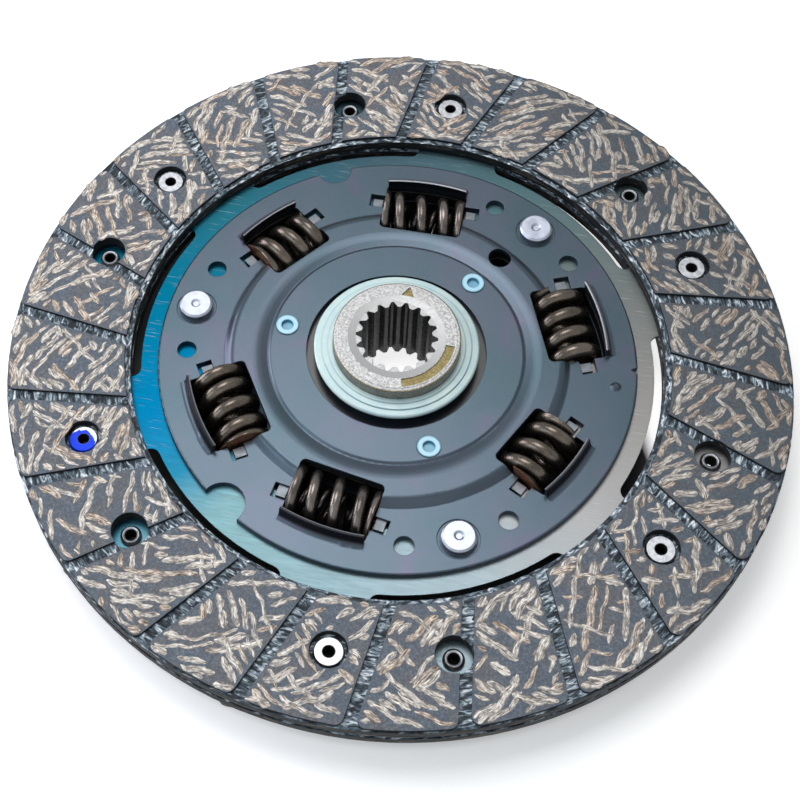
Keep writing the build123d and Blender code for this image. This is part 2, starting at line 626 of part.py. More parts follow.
def hub_marks():
    """Shallow recesses in the hub's face: an arc bar and a triangle."""
    bar = sector(HUB_MARK_INNER_RADIUS, HUB_MARK_OUTER_RADIUS, HUB_MARK_START_DEG, HUB_MARK_SWEEP_DEG)
    triangle = at_angle(
        Pos(HUB_TRIANGLE_RADIUS, 0) * RegularPolygon(HUB_TRIANGLE_SIDE / math.sqrt(3), 3),
        HUB_TRIANGLE_DEG)
    bottom = HUB_LENGTH - HUB_MARK_DEPTH
    return [Pos(0, 0, bottom) * extrude(shape, 2 * HUB_MARK_DEPTH) for shape in (bar, triangle)]


def hub():
    """Splined hub: a turned sleeve with a toothed collar that carries the flange."""
    outer = HUB_OUTER_RADIUS
    edge = HUB_EDGE_CHAMFER
    land = BORE_LAND_RADIUS
    drop = BORE_LAND_DROP
    minor = SPLINE_MINOR_RADIUS
    major = SPLINE_MAJOR_RADIUS
    body = turned([
        (minor, drop), (major, drop), (land, 0), (outer - edge, 0), (outer, edge),
        (outer, HUB_LENGTH - edge), (outer - edge, HUB_LENGTH - HUB_RIM_DROP),
        (HUB_RIM_RADIUS, HUB_LENGTH - HUB_RIM_DROP), (HUB_RIM_RADIUS, HUB_LENGTH), (land, HUB_LENGTH),
        (major, HUB_LENGTH - drop), (minor, HUB_LENGTH - drop)])
    collar = toothed_outline() - Circle((outer + land) / 2)
    body += Pos(0, 0, flange_bottom) * extrude(collar, FLANGE_THICKNESS)
    groove = extrude(spline_groove(), HUB_LENGTH)
    return body - round_pattern(groove, SPLINE_TOOTH_COUNT) - hub_marks()


def hub_flange():
    """Flange plate with six spring windows and three stop notches, on the hub's teeth."""
    plan = Circle(FLANGE_OUTER_RADIUS) - toothed_outline(SERRATION_CLEARANCE)
    for angle, half_width in zip(WINDOW_ANGLES_DEG, window_half_widths):
        window = window_outline(half_width, window_inner, window_outer, FLANGE_WINDOW_CORNER)
        plan -= at_angle(window, angle)
    pin = STOP_PIN_SHOULDER_DIA / 2
    travel = DAMPER_TRAVEL_DEG + TRAVEL_CLEARANCE_DEG
    half = travel + math.degrees(pin / stop_pin_pitch_radius)
    inner = stop_pin_pitch_radius - pin - SPRING_SIDE_CLEARANCE
    notch = fillet(
        sector(inner, FLANGE_OUTER_RADIUS + pin, -half, 2 * half).vertices(), WINDOW_CORNER)
    for angle in stop_pin_angles:
        plan -= at_angle(notch, angle)
    return Pos(0, 0, flange_bottom) * extrude(plan, FLANGE_THICKNESS) - tooling_hole()


# ---------------------------------------------------------------- friction stack

def front_bush():
    """Plastic bush: lipped collar round the hub, flange under the cover, three locking pegs."""
    bore = bush_bore_radius
    first, second = BUSH_RIDGE_RADII
    step = BUSH_RIDGE_STEP
    crown = cover_plateau + BUSH_COLLAR_STANDOFF
    shoulder = crown - step
    lip_under = shoulder - BUSH_LIP_THICKNESS
    flange_under = cover_plateau_inside - BUSH_FLANGE_THICKNESS
    body = turned([
        (bore, flange_under), (BUSH_FLANGE_RADIUS, flange_under),
        (BUSH_FLANGE_RADIUS, cover_plateau_inside), (BUSH_NECK_RADIUS, cover_plateau_inside),
        (BUSH_NECK_RADIUS, lip_under), (BUSH_COLLAR_RADIUS, lip_under),
        (BUSH_COLLAR_RADIUS, shoulder - step), (BUSH_COLLAR_RADIUS - step, shoulder),
        (second, shoulder), (second, crown), (first, crown), (first, crown + step / 2),
        (bore, crown + step / 2)])
    peg_top = cover_plateau + PEG_STANDOFF
    bosses = round_pattern(
        post(PEG_BOSS_DIA / 2, flange_under, cover_plateau_inside, PEG_RADIUS, STOP_PIN_DEG),
        PEG_COUNT)
    pegs = round_pattern(
        post(PEG_DIA / 2, flange_under, peg_top, PEG_RADIUS, STOP_PIN_DEG), PEG_COUNT)
    recesses = round_pattern(
        post(PEG_RECESS_DIA / 2, peg_top - PEG_RECESS_DEPTH, crown, PEG_RADIUS, STOP_PIN_DEG),
        PEG_COUNT)
    return body + bosses + pegs - recesses


def front_friction_washer():
    """Flat washer between the bush's flange and the hub flange."""
    return ring(FRONT_WASHER_INNER_RADIUS, FRONT_WASHER_OUTER_RADIUS, flange_top,
                flange_top + front_washer_thickness)


def rear_friction_ring():
    """Plastic ring against the hub flange, with a collar in the rear cover's hole."""
    bore = bush_bore_radius
    collar_end = 2 * damper_mid - cover_plateau - REAR_COLLAR_STANDOFF
    return turned([
        (bore, collar_end), (REAR_COLLAR_RADIUS, collar_end), (REAR_COLLAR_RADIUS, rear_ring_bottom),
        (REAR_RING_RADIUS, rear_ring_bottom), (REAR_RING_RADIUS, flange_bottom),
        (bore, flange_bottom)])


def pressure_washer():
    """Steel washer behind the friction ring, with three short guide tabs."""
    inner = REAR_COLLAR_RADIUS + COLLAR_CLEARANCE
    plan = Circle(PRESSURE_WASHER_RADIUS) - Circle(inner)
    half_length = PRESSURE_TAB_RADIUS - PRESSURE_WASHER_RADIUS
    tab = Pos(PRESSURE_WASHER_RADIUS, 0) * Rectangle(2 * half_length, PRESSURE_TAB_WIDTH)
    plan += round_pattern(tab, PRESSURE_TAB_COUNT, STOP_PIN_DEG)
    return Pos(0, 0, pressure_washer_bottom) * extrude(plan, PRESSURE_WASHER_THICKNESS)


def diaphragm_spring():
    """Shallow conical spring between the pressure washer and the rear cover."""
    inner = REAR_COLLAR_RADIUS + COLLAR_CLEARANCE
    outer = DIAPHRAGM_OUTER_RADIUS
    top = pressure_washer_bottom
    bottom = rear_plateau_inside
    body = turned([
        (inner, top), (inner, top - DIAPHRAGM_THICKNESS), (outer, bottom),
        (outer, bottom + DIAPHRAGM_THICKNESS)])
    slot = Pos(inner, 0, bottom - 1) * extrude(
        Rectangle(2 * DIAPHRAGM_SLOT_LENGTH, DIAPHRAGM_SLOT_WIDTH), top - bottom + 2)
    return body - round_pattern(slot, DIAPHRAGM_SLOT_COUNT)


# ---------------------------------------------------------------- damper springs

def coil_spring(outer_dia, wire_dia, active_pitch, length, first_crown, hand=1):
    """Coil spring along +Y with closed ends ground flat, wound right-handed for hand 1.

    Its wire passes the crown, on +Z, after first_crown turns from its -Y end.
    """
    radius = (outer_dia - wire_dia) / 2
    closed_pitch = wire_dia * CLOSED_TURN_PITCH
    end_rise = closed_pitch * (1 - GROUND_TIP)
    middle = length - 2 * end_rise
    active_turns = middle / active_pitch
    turns = active_turns + 2
    steps_per_turn = 8
    count = math.ceil(turns * steps_per_turn)

    def rise(turn):
        """Height along the spring after so many turns: an end turn, the middle, an end turn."""
        if turn < 1:
            return end_rise + closed_pitch * (turn - 1)
        if turn > 1 + active_turns:
            return end_rise + middle + closed_pitch * (turn - 1 - active_turns)
        return end_rise + active_pitch * (turn - 1)

    points = []
    for k in range(count + 1):
        turn = turns * k / count
        angle = math.pi / 2 - hand * 2 * math.pi * (turn - first_crown)
        points.append((radius * math.cos(angle), rise(turn) - length / 2, radius * math.sin(angle)))
    path = Spline(*points)
    section = Plane(origin=path @ 0, z_dir=path % 0) * Circle(wire_dia / 2)
    wire = sweep(section, path=path, is_frenet=True)
    slab = Box(2 * outer_dia, length, 2 * outer_dia)
    return wire & slab


def damper_springs():
    """All springs by node name: heavy ones, and light ones with an inner spring each."""
    nodes = {}
    numbers = {"main": 0, "light": 0}
    for window, (angle, length, first_crown) in enumerate(
            zip(WINDOW_ANGLES_DEG, spring_lengths, FIRST_CROWN_TURNS)):
        seat = Rot(0, 0, angle) * Pos(spring_pitch_radius, 0, damper_mid)
        kind = "light" if window in LIGHT_WINDOWS else "main"
        numbers[kind] += 1
        number = numbers[kind]
        if kind == "main":
            nodes[f"main_spring_{number}"] = seat * coil_spring(
                SPRING_OUTER_DIA, HEAVY_WIRE_DIA, HEAVY_ACTIVE_PITCH, length, first_crown)
            continue
        nodes[f"light_spring_{number}"] = seat * coil_spring(
            SPRING_OUTER_DIA, LIGHT_WIRE_DIA, LIGHT_ACTIVE_PITCH, length, first_crown)
        nodes[f"inner_spring_{number}"] = seat * coil_spring(
            INNER_SPRING_OUTER_DIA, INNER_WIRE_DIA, INNER_ACTIVE_PITCH, length, first_crown, -1)
    return nodes


# ---------------------------------------------------------------- all nodes

def all_nodes():
    """Every sub-part of the clutch disc by node name."""
    nodes = {
        "front_facing": front_facing(),
        "rear_facing": rear_facing(),
        "carrier_disc": carrier_disc(),
        "front_facing_rivets": front_facing_rivets(),
        "rear_facing_rivets": rear_facing_rivets(),
        "front_cover_plate": front_cover_plate(),
        "rear_cover_plate": rear_cover_plate(),
        "hub": hub(),
        "hub_flange": hub_flange(),
        "front_bush": front_bush(),
        "front_friction_washer": front_friction_washer(),
        "rear_friction_ring": rear_friction_ring(),
        "pressure_washer": pressure_washer(),
        "diaphragm_spring": diaphragm_spring(),
    }
    pin = Pos(stop_pin_pitch_radius, 0, 0) * stop_pin()
    for number, angle in enumerate(stop_pin_angles, 1):
        nodes[f"stop_pin_{number}"] = at_angle(pin, angle)
    nodes.update(damper_springs())
    return nodes


for name, shape in all_nodes().items():
    export_step(shape, f"parts/{name}.step")
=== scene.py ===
import math
import random

import bpy
from mathutils import Matrix, Vector


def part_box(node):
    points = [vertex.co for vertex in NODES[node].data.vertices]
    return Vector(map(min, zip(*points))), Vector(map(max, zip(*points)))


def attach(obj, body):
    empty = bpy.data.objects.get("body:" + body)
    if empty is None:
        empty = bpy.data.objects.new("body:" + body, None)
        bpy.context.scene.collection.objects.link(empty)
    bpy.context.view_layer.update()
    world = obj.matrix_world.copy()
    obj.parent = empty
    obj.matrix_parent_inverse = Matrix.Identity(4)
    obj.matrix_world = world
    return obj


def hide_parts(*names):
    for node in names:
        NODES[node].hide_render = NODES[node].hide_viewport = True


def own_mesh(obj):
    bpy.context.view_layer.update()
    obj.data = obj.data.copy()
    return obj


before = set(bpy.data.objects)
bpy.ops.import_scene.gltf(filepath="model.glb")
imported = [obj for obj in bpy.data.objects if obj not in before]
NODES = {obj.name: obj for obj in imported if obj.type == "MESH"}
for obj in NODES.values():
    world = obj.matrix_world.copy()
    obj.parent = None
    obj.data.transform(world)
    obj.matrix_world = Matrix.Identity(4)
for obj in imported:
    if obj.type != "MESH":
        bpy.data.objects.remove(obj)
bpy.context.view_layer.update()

MM = 0.001  # a millimetre in the scene's metres

# ------------------------------------------------------------------ sizes from the frame

facing_low, facing_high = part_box("front_facing")
rear_low, rear_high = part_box("rear_facing")

FACING_OUTER_RADIUS = facing_high.x / MM
FACING_TOP = facing_high.z / MM
FACING_BACK = facing_low.z / MM
REAR_TOP = rear_high.z / MM
REAR_BACK = rear_low.z / MM
HUB_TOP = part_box("hub")[1].z / MM

# ------------------------------------------------------------------ sizes in millimetres
# The shapes' sizes repeat the CAD model's. A fade from one finish to the next has two values.

# Facings: pads between slanted grooves, six rivet seats and six rivet holes.
FACING_INNER_RADIUS = 68.5
PAD_COUNT = 24
PAD_HEIGHT = 0.9
PAD_INNER_RADIUS = 69.9
PAD_OUTER_RADIUS = 99.6
GROOVE_WIDTH = 2.9
GROOVE_SLANT_DEG = 14.0
GROOVE_PHASE_DEG = 9.9
GROOVE_PHASE_RADIUS = (FACING_INNER_RADIUS + FACING_OUTER_RADIUS) / 2
GROOVE_FLOOR_DEPTHS = (0.25, 0.55)
FACING_HOLE_RADIUS = 4.5
RIVET_COUNT = 6
RIVET_PITCH_RADIUS = 82.6
RIVET_BORE_RADII = (1.45, 1.65)
FRONT_RIVET_DEG = 3.18
REAR_RIVET_DEG = 23.18

# Damper springs in the six windows.
WINDOW_ANGLES = (5.6, 55.4, 124.6, 174.4, 245.8, 294.2)
SPRING_LENGTHS = (17.8, 21.4, 21.4, 17.8, 21.4, 21.4)
SPRING_PITCH_RADIUS = 45.0
SPRING_OUTER_DIA = 15.6
DAMPER_MIDDLE_Z = 10.3

# Cover plates: a reach is measured from the damper's middle, up or down.
LIP_RADII = (52.4, 52.8)
LIP_WALL_REACH = (4.5, 5.2)
LIP_TIP_REACH = (6.9, 7.1)
LIP_EDGE_RADII = (53.55, 53.75)
TAB_RADII = (44.6, 48.5)
TAB_BEYOND_SPRING = (0.6, 3.5)
TAB_REACH = (2.6, 3.7)

# Hub: a depth is measured down from its face.
SPLINE_RADII = (10.60, 10.75)
LAND_RADII = (12.30, 12.45)
MARK_DEPTHS = (0.24, 0.30)
SPLINE_DEPTHS = (0.36, 0.42)
HUB_SIDE_DEPTHS = (0.45, 0.55)

# Front bush and its three pegs.
BUSH_STEP_RADII = (17.6, 19.2)
BUSH_STEP_SHADE_WIDTHS = (0.08, 0.34)
BUSH_GAP_RADII = (25.4, 25.7)
BUSH_GAP_HEIGHTS = (16.1, 17.2)
PEG_COUNT = 3
PEG_PITCH_RADIUS = 29.1
PEG_DEG = 90.0
PEG_SPAN = 3.0

# The facings' darker side, painted on as in the photo, where it is probably only the light.
SHADED_SIDE_DEG = 63.0
SHADED_SIDE_REACH = (25.0, 90.0)
PAINT_DEG = 243.9
PAINT_RADIUS = 83.7
PAINT_REACH = (4.8, 5.0)
PAINT_RAGGED = 2.4


# ------------------------------------------------------------------ material helpers

# Where noise counts as fully dark and fully light: in clouds and in fine grain.
CLOUD_ENDS = (0.35, 0.65)
GRAIN_ENDS = (0.3, 0.7)
BEVEL_SAMPLES = 4


class Shader:
    """A node material being built: nodes are added by kind and linked by socket name."""

    def __init__(self, name):
        self.material = bpy.data.materials.new(name)
        self.material.use_nodes = True
        self.tree = self.material.node_tree
        self.tree.nodes.clear()
        output = self.tree.nodes.new("ShaderNodeOutputMaterial")
        self.bsdf = self.tree.nodes.new("ShaderNodeBsdfPrincipled")
        self.tree.links.new(self.bsdf.outputs[0], output.inputs["Surface"])

    def set(self, **values):
        """Plain values on the surface shader, such as Metallic=1."""
        for name, value in values.items():
            self.bsdf.inputs[name.replace("_", " ")].default_value = value
        return self

    def feed(self, name, socket):
        """Drives one input of the surface shader."""
        self.tree.links.new(socket, self.bsdf.inputs[name])

    def node(self, kind, **settings):
        """A new shader node of a kind, such as "Math", with its settings."""
        made = self.tree.nodes.new("ShaderNode" + kind)
        for name, value in settings.items():
            setattr(made, name, value)
        return made

    def plug(self, socket, value):
        """Links a socket, or sets a plain value."""
        if hasattr(value, "is_output"):
            self.tree.links.new(value, socket)
        else:
            socket.default_value = value

    def calc(self, operation, a, b=0.0, c=0.0):
        """One operation on sockets or plain numbers, such as calc("ADD", a, b)."""
        made = self.node("Math", operation=operation)
        for socket, value in zip(made.inputs, (a, b, c)):
            self.plug(socket, value)
        return made.outputs[0]

    def object_mm(self):
        """The shaded point, in millimetres of the shared frame."""
        coords = self.node("TexCoord")
        scaled = self.node("VectorMath", operation="SCALE")
        self.tree.links.new(coords.outputs["Object"], scaled.inputs[0])
        scaled.inputs["Scale"].default_value = 1 / MM
        return scaled.outputs[0]

    def split(self, vector):
        """The three parts of a vector."""
        made = self.node("SeparateXYZ")
        self.plug(made.inputs[0], vector)
        return made.outputs

    def join(self, x, y, z):
        """A vector from three parts."""
        made = self.node("CombineXYZ")
        for socket, value in zip(made.inputs, (x, y, z)):
            self.plug(socket, value)
        return made.outputs[0]

    def polar(self, vector, centre=(0.0, 0.0)):
        """(angle in radians, radius, height) about an upright axis."""
        x, y, z = self.split(vector)
        x = self.calc("SUBTRACT", x, centre[0])
        y = self.calc("SUBTRACT", y, centre[1])
        angle = self.calc("ARCTAN2", y, x)
        square = self.calc("ADD", self.calc("MULTIPLY", x, x), self.calc("MULTIPLY", y, y))
        return angle, self.calc("SQRT", square), z

    def toward(self, vector, degrees):
        """Distance from the axis, measured in one direction round it."""
        x, y, _ = self.split(vector)
        across = self.calc("MULTIPLY", x, math.cos(math.radians(degrees)))
        return self.calc("MULTIPLY_ADD", y, math.sin(math.radians(degrees)), across)

    def from_nearest(self, vector, start_deg, count, pitch_radius):
        """Distance from the nearest of count centres, evenly spaced round the axis."""
        angle, radius, _ = self.polar(vector)
        step = 2 * math.pi / count
        turn = self.calc("SUBTRACT", angle, math.radians(start_deg))
        whole = self.calc("MULTIPLY", self.calc("ROUND", self.calc("DIVIDE", turn, step)), step)
        side = self.calc("MULTIPLY", self.calc("SUBTRACT", turn, whole), pitch_radius)
        out = self.calc("SUBTRACT", radius, pitch_radius)
        square = self.calc("MULTIPLY_ADD", side, side, self.calc("MULTIPLY", out, out))
        return self.calc("SQRT", square)

    def noise(self, vector, scale, detail, roughness=0.5, distortion=0.0):
        """Cloudy noise about 0.5; scale is its lumps for each unit of the vector."""
        made = self.node("TexNoise")
        self.plug(made.inputs["Vector"], vector)
        made.inputs["Scale"].default_value = scale
        made.inputs["Detail"].default_value = detail
        made.inputs["Roughness"].default_value = roughness
        made.inputs["Distortion"].default_value = distortion
        return made.outputs["Fac"]

    def ramp(self, factor, stops):
        """Colour ramp from (position, colour) stops; a plain number stands for a grey."""
        made = self.node("ValToRGB")
        band = made.color_ramp
        while len(band.elements) < len(stops):
            band.elements.new(0.5)
        for element, (position, colour) in zip(band.elements, stops):
            element.position = position
            element.color = rgb(colour)
        self.plug(made.inputs[0], factor)
        return made.outputs[0]

    def mix(self, factor, a, b, blend="MIX"):
        """Colour a where the factor is 0 and colour b where it is 1."""
        # A Mix node has its colours in inputs 6 and 7, and gives one in output 2.
        made = self.node("Mix", data_type="RGBA", blend_type=blend)
        self.plug(made.inputs[0], factor)
        self.plug(made.inputs[6], rgb(a))
        self.plug(made.inputs[7], rgb(b))
        return made.outputs[2]

    def cloudy(self, noise, dark, light):
        """A tone that drifts between two colours."""
        return self.mix(self.span(noise, *CLOUD_ENDS), dark, light)

    def span(self, value, low, high, to_low=0.0, to_high=1.0):
        """A value carried from one range to another, held at its ends."""
        made = self.node("MapRange", clamp=True)
        for socket, number in zip(made.inputs, (value, low, high, to_low, to_high)):
            self.plug(socket, number)
        return made.outputs[0]

    def bump(self, height, distance, strength, normal=None):
        """Bump from a height; distance is in metres."""
        made = self.node("Bump")
        made.inputs["Strength"].default_value = strength
        made.inputs["Distance"].default_value = distance
        self.plug(made.inputs["Height"], height)
        if normal is not None:
            self.plug(made.inputs["Normal"], normal)
        return made.outputs[0]

    def rounded_edges(self, radius_mm):
        """A normal that rounds sharp edges."""
        made = self.node("Bevel", samples=BEVEL_SAMPLES)
        made.inputs["Radius"].default_value = radius_mm * MM
        return made.outputs[0]


def rgb(colour):
    """A colour as four numbers; a grey may be one number; a socket passes through."""
    if hasattr(colour, "is_output"):
        return colour
    if isinstance(colour, (int, float)):
        return (colour, colour, colour, 1.0)
    return (*colour, 1.0)


def darker(colour, share):
    """A colour at a share of its own brightness."""
    return tuple(share * part for part in colour)


# ------------------------------------------------------------------ materials
# Colours are linear. A ramp is a row of (level of the noise, colour).

RESIN_COOL = ((0.30, (0.058, 0.076, 0.098)), (0.52, (0.102, 0.127, 0.160)),
              (0.72, (0.20, 0.228, 0.27)))
RESIN_WARM = ((0.30, (0.070, 0.078, 0.090)), (0.52, (0.122, 0.129, 0.146)),
              (0.72, (0.22, 0.226, 0.238)))
RESIN_SPECK = (0.48, 0.44, 0.39)
RESIN_SHADED_SIDE = (0.030, 0.042, 0.048)
GROOVE_STREAKS = ((0.40, (0.008, 0.012, 0.017)), (0.50, (0.060, 0.086, 0.108)),
                  (0.57, (0.27, 0.34, 0.40)), (0.66, (0.88, 0.92, 0.94)))
FACING_WALL_SHADE = ((0.54, (0.006, 0.008, 0.010)), (0.66, (0.022, 0.020, 0.018)),
               (0.72, (0.14, 0.11, 0.08)))
UPRIGHT_ENDS = (0.3, 0.7)
# How much noise is passed for each radian, and for each millimetre outward.
STREAKS_ROUND = 30.0
FIBRES_ROUND = 9.0
FIBRES_OUT = 0.3


def facing_matrix(name, work_z, direction):
    """Resin and fibre matrix: pad tops, streaked groove floors and walls painted near black as
    shade.

    work_z is the height of the pads' tops, and direction is 1 or -1 as they face up or down.
    """
    s = Shader(name).set(Metallic=0.0)
    at = s.object_mm()
    angle, radius, height = s.polar(at)
    blotch = s.noise(at, 0.16, 3.0)
    grain = s.noise(at, 1.7, 5.0, 0.62)
    specks = s.noise(at, 5.5, 2.0, 0.7)
    tone = s.mix(s.span(blotch, 0.42, 0.60), s.ramp(grain, RESIN_COOL), s.ramp(grain, RESIN_WARM))
    tone = s.mix(s.span(specks, 0.62, 0.72, 0.0, 0.5), tone, RESIN_SPECK)
    # Painted shade: the resin darkens towards one side round the axis.
    shaded_side = s.span(s.toward(at, SHADED_SIDE_DEG), *SHADED_SIDE_REACH, 0.0, 0.55)
    tone = s.mix(shaded_side, tone, RESIN_SHADED_SIDE)
    # Streaks that cross each groove: stretched round the axis, fine along the radius.
    streak_at = s.join(s.calc("MULTIPLY", angle, STREAKS_ROUND), radius, height)
    streaks = s.noise(streak_at, 0.85, 4.0, 0.58, 1.1)
    depth = s.calc("MULTIPLY", s.calc("SUBTRACT", work_z, height), direction)
    on_floor = s.span(depth, *GROOVE_FLOOR_DEPTHS)
    colour = s.mix(on_floor, tone, s.ramp(streaks, GROOVE_STREAKS))
    fibre_at = s.join(s.calc("MULTIPLY", angle, FIBRES_ROUND),
                      s.calc("MULTIPLY", radius, FIBRES_OUT), height)
    fibres = s.noise(fibre_at, 1.9, 3.0, 0.6, 0.8)
    # Painted shade: faces that stand upright, the walls, turn near black with faint fibres.
    geometry = s.node("NewGeometry")
    upright = s.calc("ABSOLUTE", s.split(geometry.outputs["True Normal"])[2])
    colour = s.mix(s.span(upright, *UPRIGHT_ENDS), s.ramp(fibres, FACING_WALL_SHADE), colour)
    s.feed("Base Color", colour)
    s.feed("Roughness", s.span(grain, *GRAIN_ENDS, 0.50, 0.72))
    s.set(Specular_IOR_Level=0.25)
    height_map = s.calc("ADD", grain, s.calc("MULTIPLY", streaks, on_floor))
    s.feed("Normal", s.bump(height_map, 0.12 * MM, 0.7, s.rounded_edges(0.25)))
    return s.material


YARN_CREAM = ((0.36, (0.10, 0.088, 0.076)), (0.46, (0.38, 0.34, 0.30)),
              (0.55, (0.74, 0.685, 0.61)), (0.64, (0.97, 0.94, 0.89)))
YARN_TAN = ((0.36, (0.085, 0.060, 0.048)), (0.47, (0.34, 0.265, 0.21)),
            (0.57, (0.70, 0.58, 0.47)), (0.66, (0.96, 0.91, 0.84)))
YARN_WORN = (0.20, 0.195, 0.20)
YARN_RIM = (0.040, 0.036, 0.036)
YARN_SHADED_SIDE = (0.070, 0.060, 0.050)
YARN_SHADE = (0.004, 0.004, 0.005)
# How much noise is passed for each millimetre along and across, and for a whole step of tone.
YARN_FIBRES = (0.36, 2.0, 60.0)


def yarn_material(name, shade):
    """Yarn strands: cream and tan fibres, darkened by a shade from 0 to 1."""
    s = Shader(name).set(Metallic=0.0)
    tone = s.node("Attribute", attribute_name="tone").outputs["Fac"]
    along = s.node("Attribute", attribute_name="along").outputs["Fac"]
    across = s.node("Attribute", attribute_name="across").outputs["Fac"]
    stretched = [s.calc("MULTIPLY", part, stretch)
                 for part, stretch in zip((along, across, tone), YARN_FIBRES)]
    fibre_at = s.join(*stretched)
    fibre = s.noise(fibre_at, 1.5, 4.0, 0.62, 0.6)
    colour = s.mix(s.span(tone, 0.55, 0.85), s.ramp(fibre, YARN_CREAM), s.ramp(fibre, YARN_TAN))
    at = s.object_mm()
    worn = s.noise(at, 0.7, 3.0)
    colour = s.mix(s.span(worn, 0.54, 0.66, 0.0, 0.75), colour, YARN_WORN)
    rim = s.node("Attribute", attribute_name="rim").outputs["Fac"]
    colour = s.mix(s.span(rim, 0.60, 1.0, 0.0, 0.80), colour, YARN_RIM)
    # Painted shade: the strands darken towards the same side round the axis.
    shaded_side = s.span(s.toward(at, SHADED_SIDE_DEG), *SHADED_SIDE_REACH, 0.0, 0.40)
    colour = s.mix(shaded_side, colour, YARN_SHADED_SIDE)
    colour = s.mix(shade, colour, YARN_SHADE)
    s.feed("Base Color", colour)
    s.set(Roughness=0.52, Specular_IOR_Level=0.3)
    s.feed("Normal", s.bump(fibre, 0.10 * MM, 0.8))
    return s.material


CARRIER_REFLECTIONS = (
    # (degrees round the axis, colour). A fault to mend: these began as medians sampled from
    # the photo every 30 degrees, later darkened, and are probably reflections there.
    (0, (0.19, 0.195, 0.20)), (32, (0.155, 0.152, 0.148)), (62, (0.098, 0.11, 0.11)),
    (100, (0.048, 0.092, 0.104)), (140, (0.029, 0.058, 0.076)), (178, (0.009, 0.072, 0.099)),
    (205, (0.0004, 0.070, 0.122)), (240, (0.0004, 0.074, 0.158)), (256, (0.008, 0.080, 0.132)),
    (270, (0.068, 0.128, 0.144)), (300, (0.088, 0.134, 0.152)), (330, (0.135, 0.172, 0.192)),
    (360, (0.19, 0.195, 0.20)),
)
CARRIER_SHEEN = (0.82, 0.84, 0.85)
CARRIER_SCRATCH = (0.6, 0.64, 0.66)
ROLLING_WAY = (0.83, 0.55)
ROLLING_STRETCH = 0.04


def carrier_material():
    """Bare spring steel, brushed, with painted reflections: bands of blue, teal and silver round
    the axis.
    """
    s = Shader("carrier_steel").set(Metallic=1.0)
    at = s.object_mm()
    angle, _, _ = s.polar(at)
    turn = s.calc("FRACT", s.calc("ADD", s.calc("DIVIDE", angle, 2 * math.pi), 1.0))
    x, y, _ = s.split(at)
    drift = s.noise(at, 0.03, 2.0)
    turn = s.calc("ADD", turn, s.calc("MULTIPLY", s.calc("SUBTRACT", drift, 0.5), 0.02))
    # Painted reflection: a colour for each angle round the axis.
    painted_reflection = s.ramp(turn, [(degrees / 360, colour) for degrees, colour in CARRIER_REFLECTIONS])
    # Rolling scratches run one way across the whole sheet.
    way_x, way_y = ROLLING_WAY
    lengthwise = s.calc("ADD", s.calc("MULTIPLY", x, way_x), s.calc("MULTIPLY", y, way_y))
    crosswise = s.calc("SUBTRACT", s.calc("MULTIPLY", x, way_y), s.calc("MULTIPLY", y, way_x))
    scratch_at = s.join(s.calc("MULTIPLY", lengthwise, ROLLING_STRETCH), crosswise, 0.0)
    scratch = s.noise(scratch_at, 2.6, 5.0, 0.65)
    colour = s.mix(s.span(scratch, 0.35, 0.70, 0.0, 0.34), painted_reflection, CARRIER_SHEEN, "SOFT_LIGHT")
    s.feed("Base Color", s.mix(s.span(scratch, 0.60, 0.72, 0.0, 0.30), colour, CARRIER_SCRATCH))
    s.feed("Roughness", s.span(scratch, 0.35, 0.70, 0.34, 0.52))
    s.feed("Normal", s.bump(scratch, 0.02 * MM, 0.35, s.rounded_edges(0.15)))
    return s.material


COVER_TONES = ((0.034, 0.061, 0.078), (0.049, 0.063, 0.088))
COVER_GRAIN = (0.075, 0.096, 0.118)
COVER_VIOLET = (0.078, 0.060, 0.110)
LIP_WALL_SHADE = (0.014, 0.011, 0.014)
LIP_EDGE_HIGHLIGHT = (0.15, 0.16, 0.18)


def cover_material():
    """Satin blue-grey phosphate on pressed steel, with fine grain, painted shade on the lips'
    walls and a painted highlight on their inner edges.
    """
    s = Shader("phosphated_steel").set(Metallic=0.80)
    at = s.object_mm()
    _, radius, height = s.polar(at)
    cloud = s.noise(at, 0.05, 3.0)
    grain = s.noise(at, 3.4, 4.0, 0.6)
    tone = s.cloudy(cloud, *COVER_TONES)
    tone = s.mix(s.span(grain, *CLOUD_ENDS, 0.0, 0.35), tone, COVER_GRAIN)
    violet = s.noise(at, 0.11, 2.0)
    tone = s.mix(s.span(violet, 0.58, 0.72, 0.0, 0.40), tone, COVER_VIOLET)
    # Painted shade darkens the lips' walls, and a painted highlight lightens their inner edges.
    reach = s.calc("ABSOLUTE", s.calc("SUBTRACT", height, DAMPER_MIDDLE_Z))
    wall = s.calc("MULTIPLY", s.span(reach, *LIP_WALL_REACH), s.span(radius, *LIP_RADII))
    tone = s.mix(s.calc("MULTIPLY", wall, 0.82), tone, LIP_WALL_SHADE)
    edge = s.calc("MULTIPLY", s.span(reach, *LIP_TIP_REACH), s.span(radius, *LIP_EDGE_RADII, 1, 0))
    tone = s.mix(s.calc("MULTIPLY", edge, s.span(radius, *LIP_RADII)), tone, LIP_EDGE_HIGHLIGHT)
    s.feed("Base Color", tone)
    s.feed("Roughness", s.span(grain, *GRAIN_ENDS, 0.28, 0.38))
    s.feed("Normal", s.bump(grain, 0.05 * MM, 0.35, s.rounded_edges(0.30)))
    return s.material


def plain_metal(name, colour, roughness):
    """A metal with cloudy tone, fine grain and rounded edges."""
    s = Shader(name).set(Metallic=1.0)
    at = s.object_mm()
    cloud = s.noise(at, 0.5, 4.0)
    grain = s.noise(at, 2.4, 5.0, 0.6)
    s.feed("Base Color", s.cloudy(cloud, darker(colour, 0.72), colour))
    s.feed("Roughness", s.span(grain, *GRAIN_ENDS, 0.8 * roughness, 1.2 * roughness))
    s.feed("Normal", s.bump(grain, 0.03 * MM, 0.5, s.rounded_edges(0.2)))
    return s.material


WIRE_BRONZE = (0.24, 0.205, 0.165)


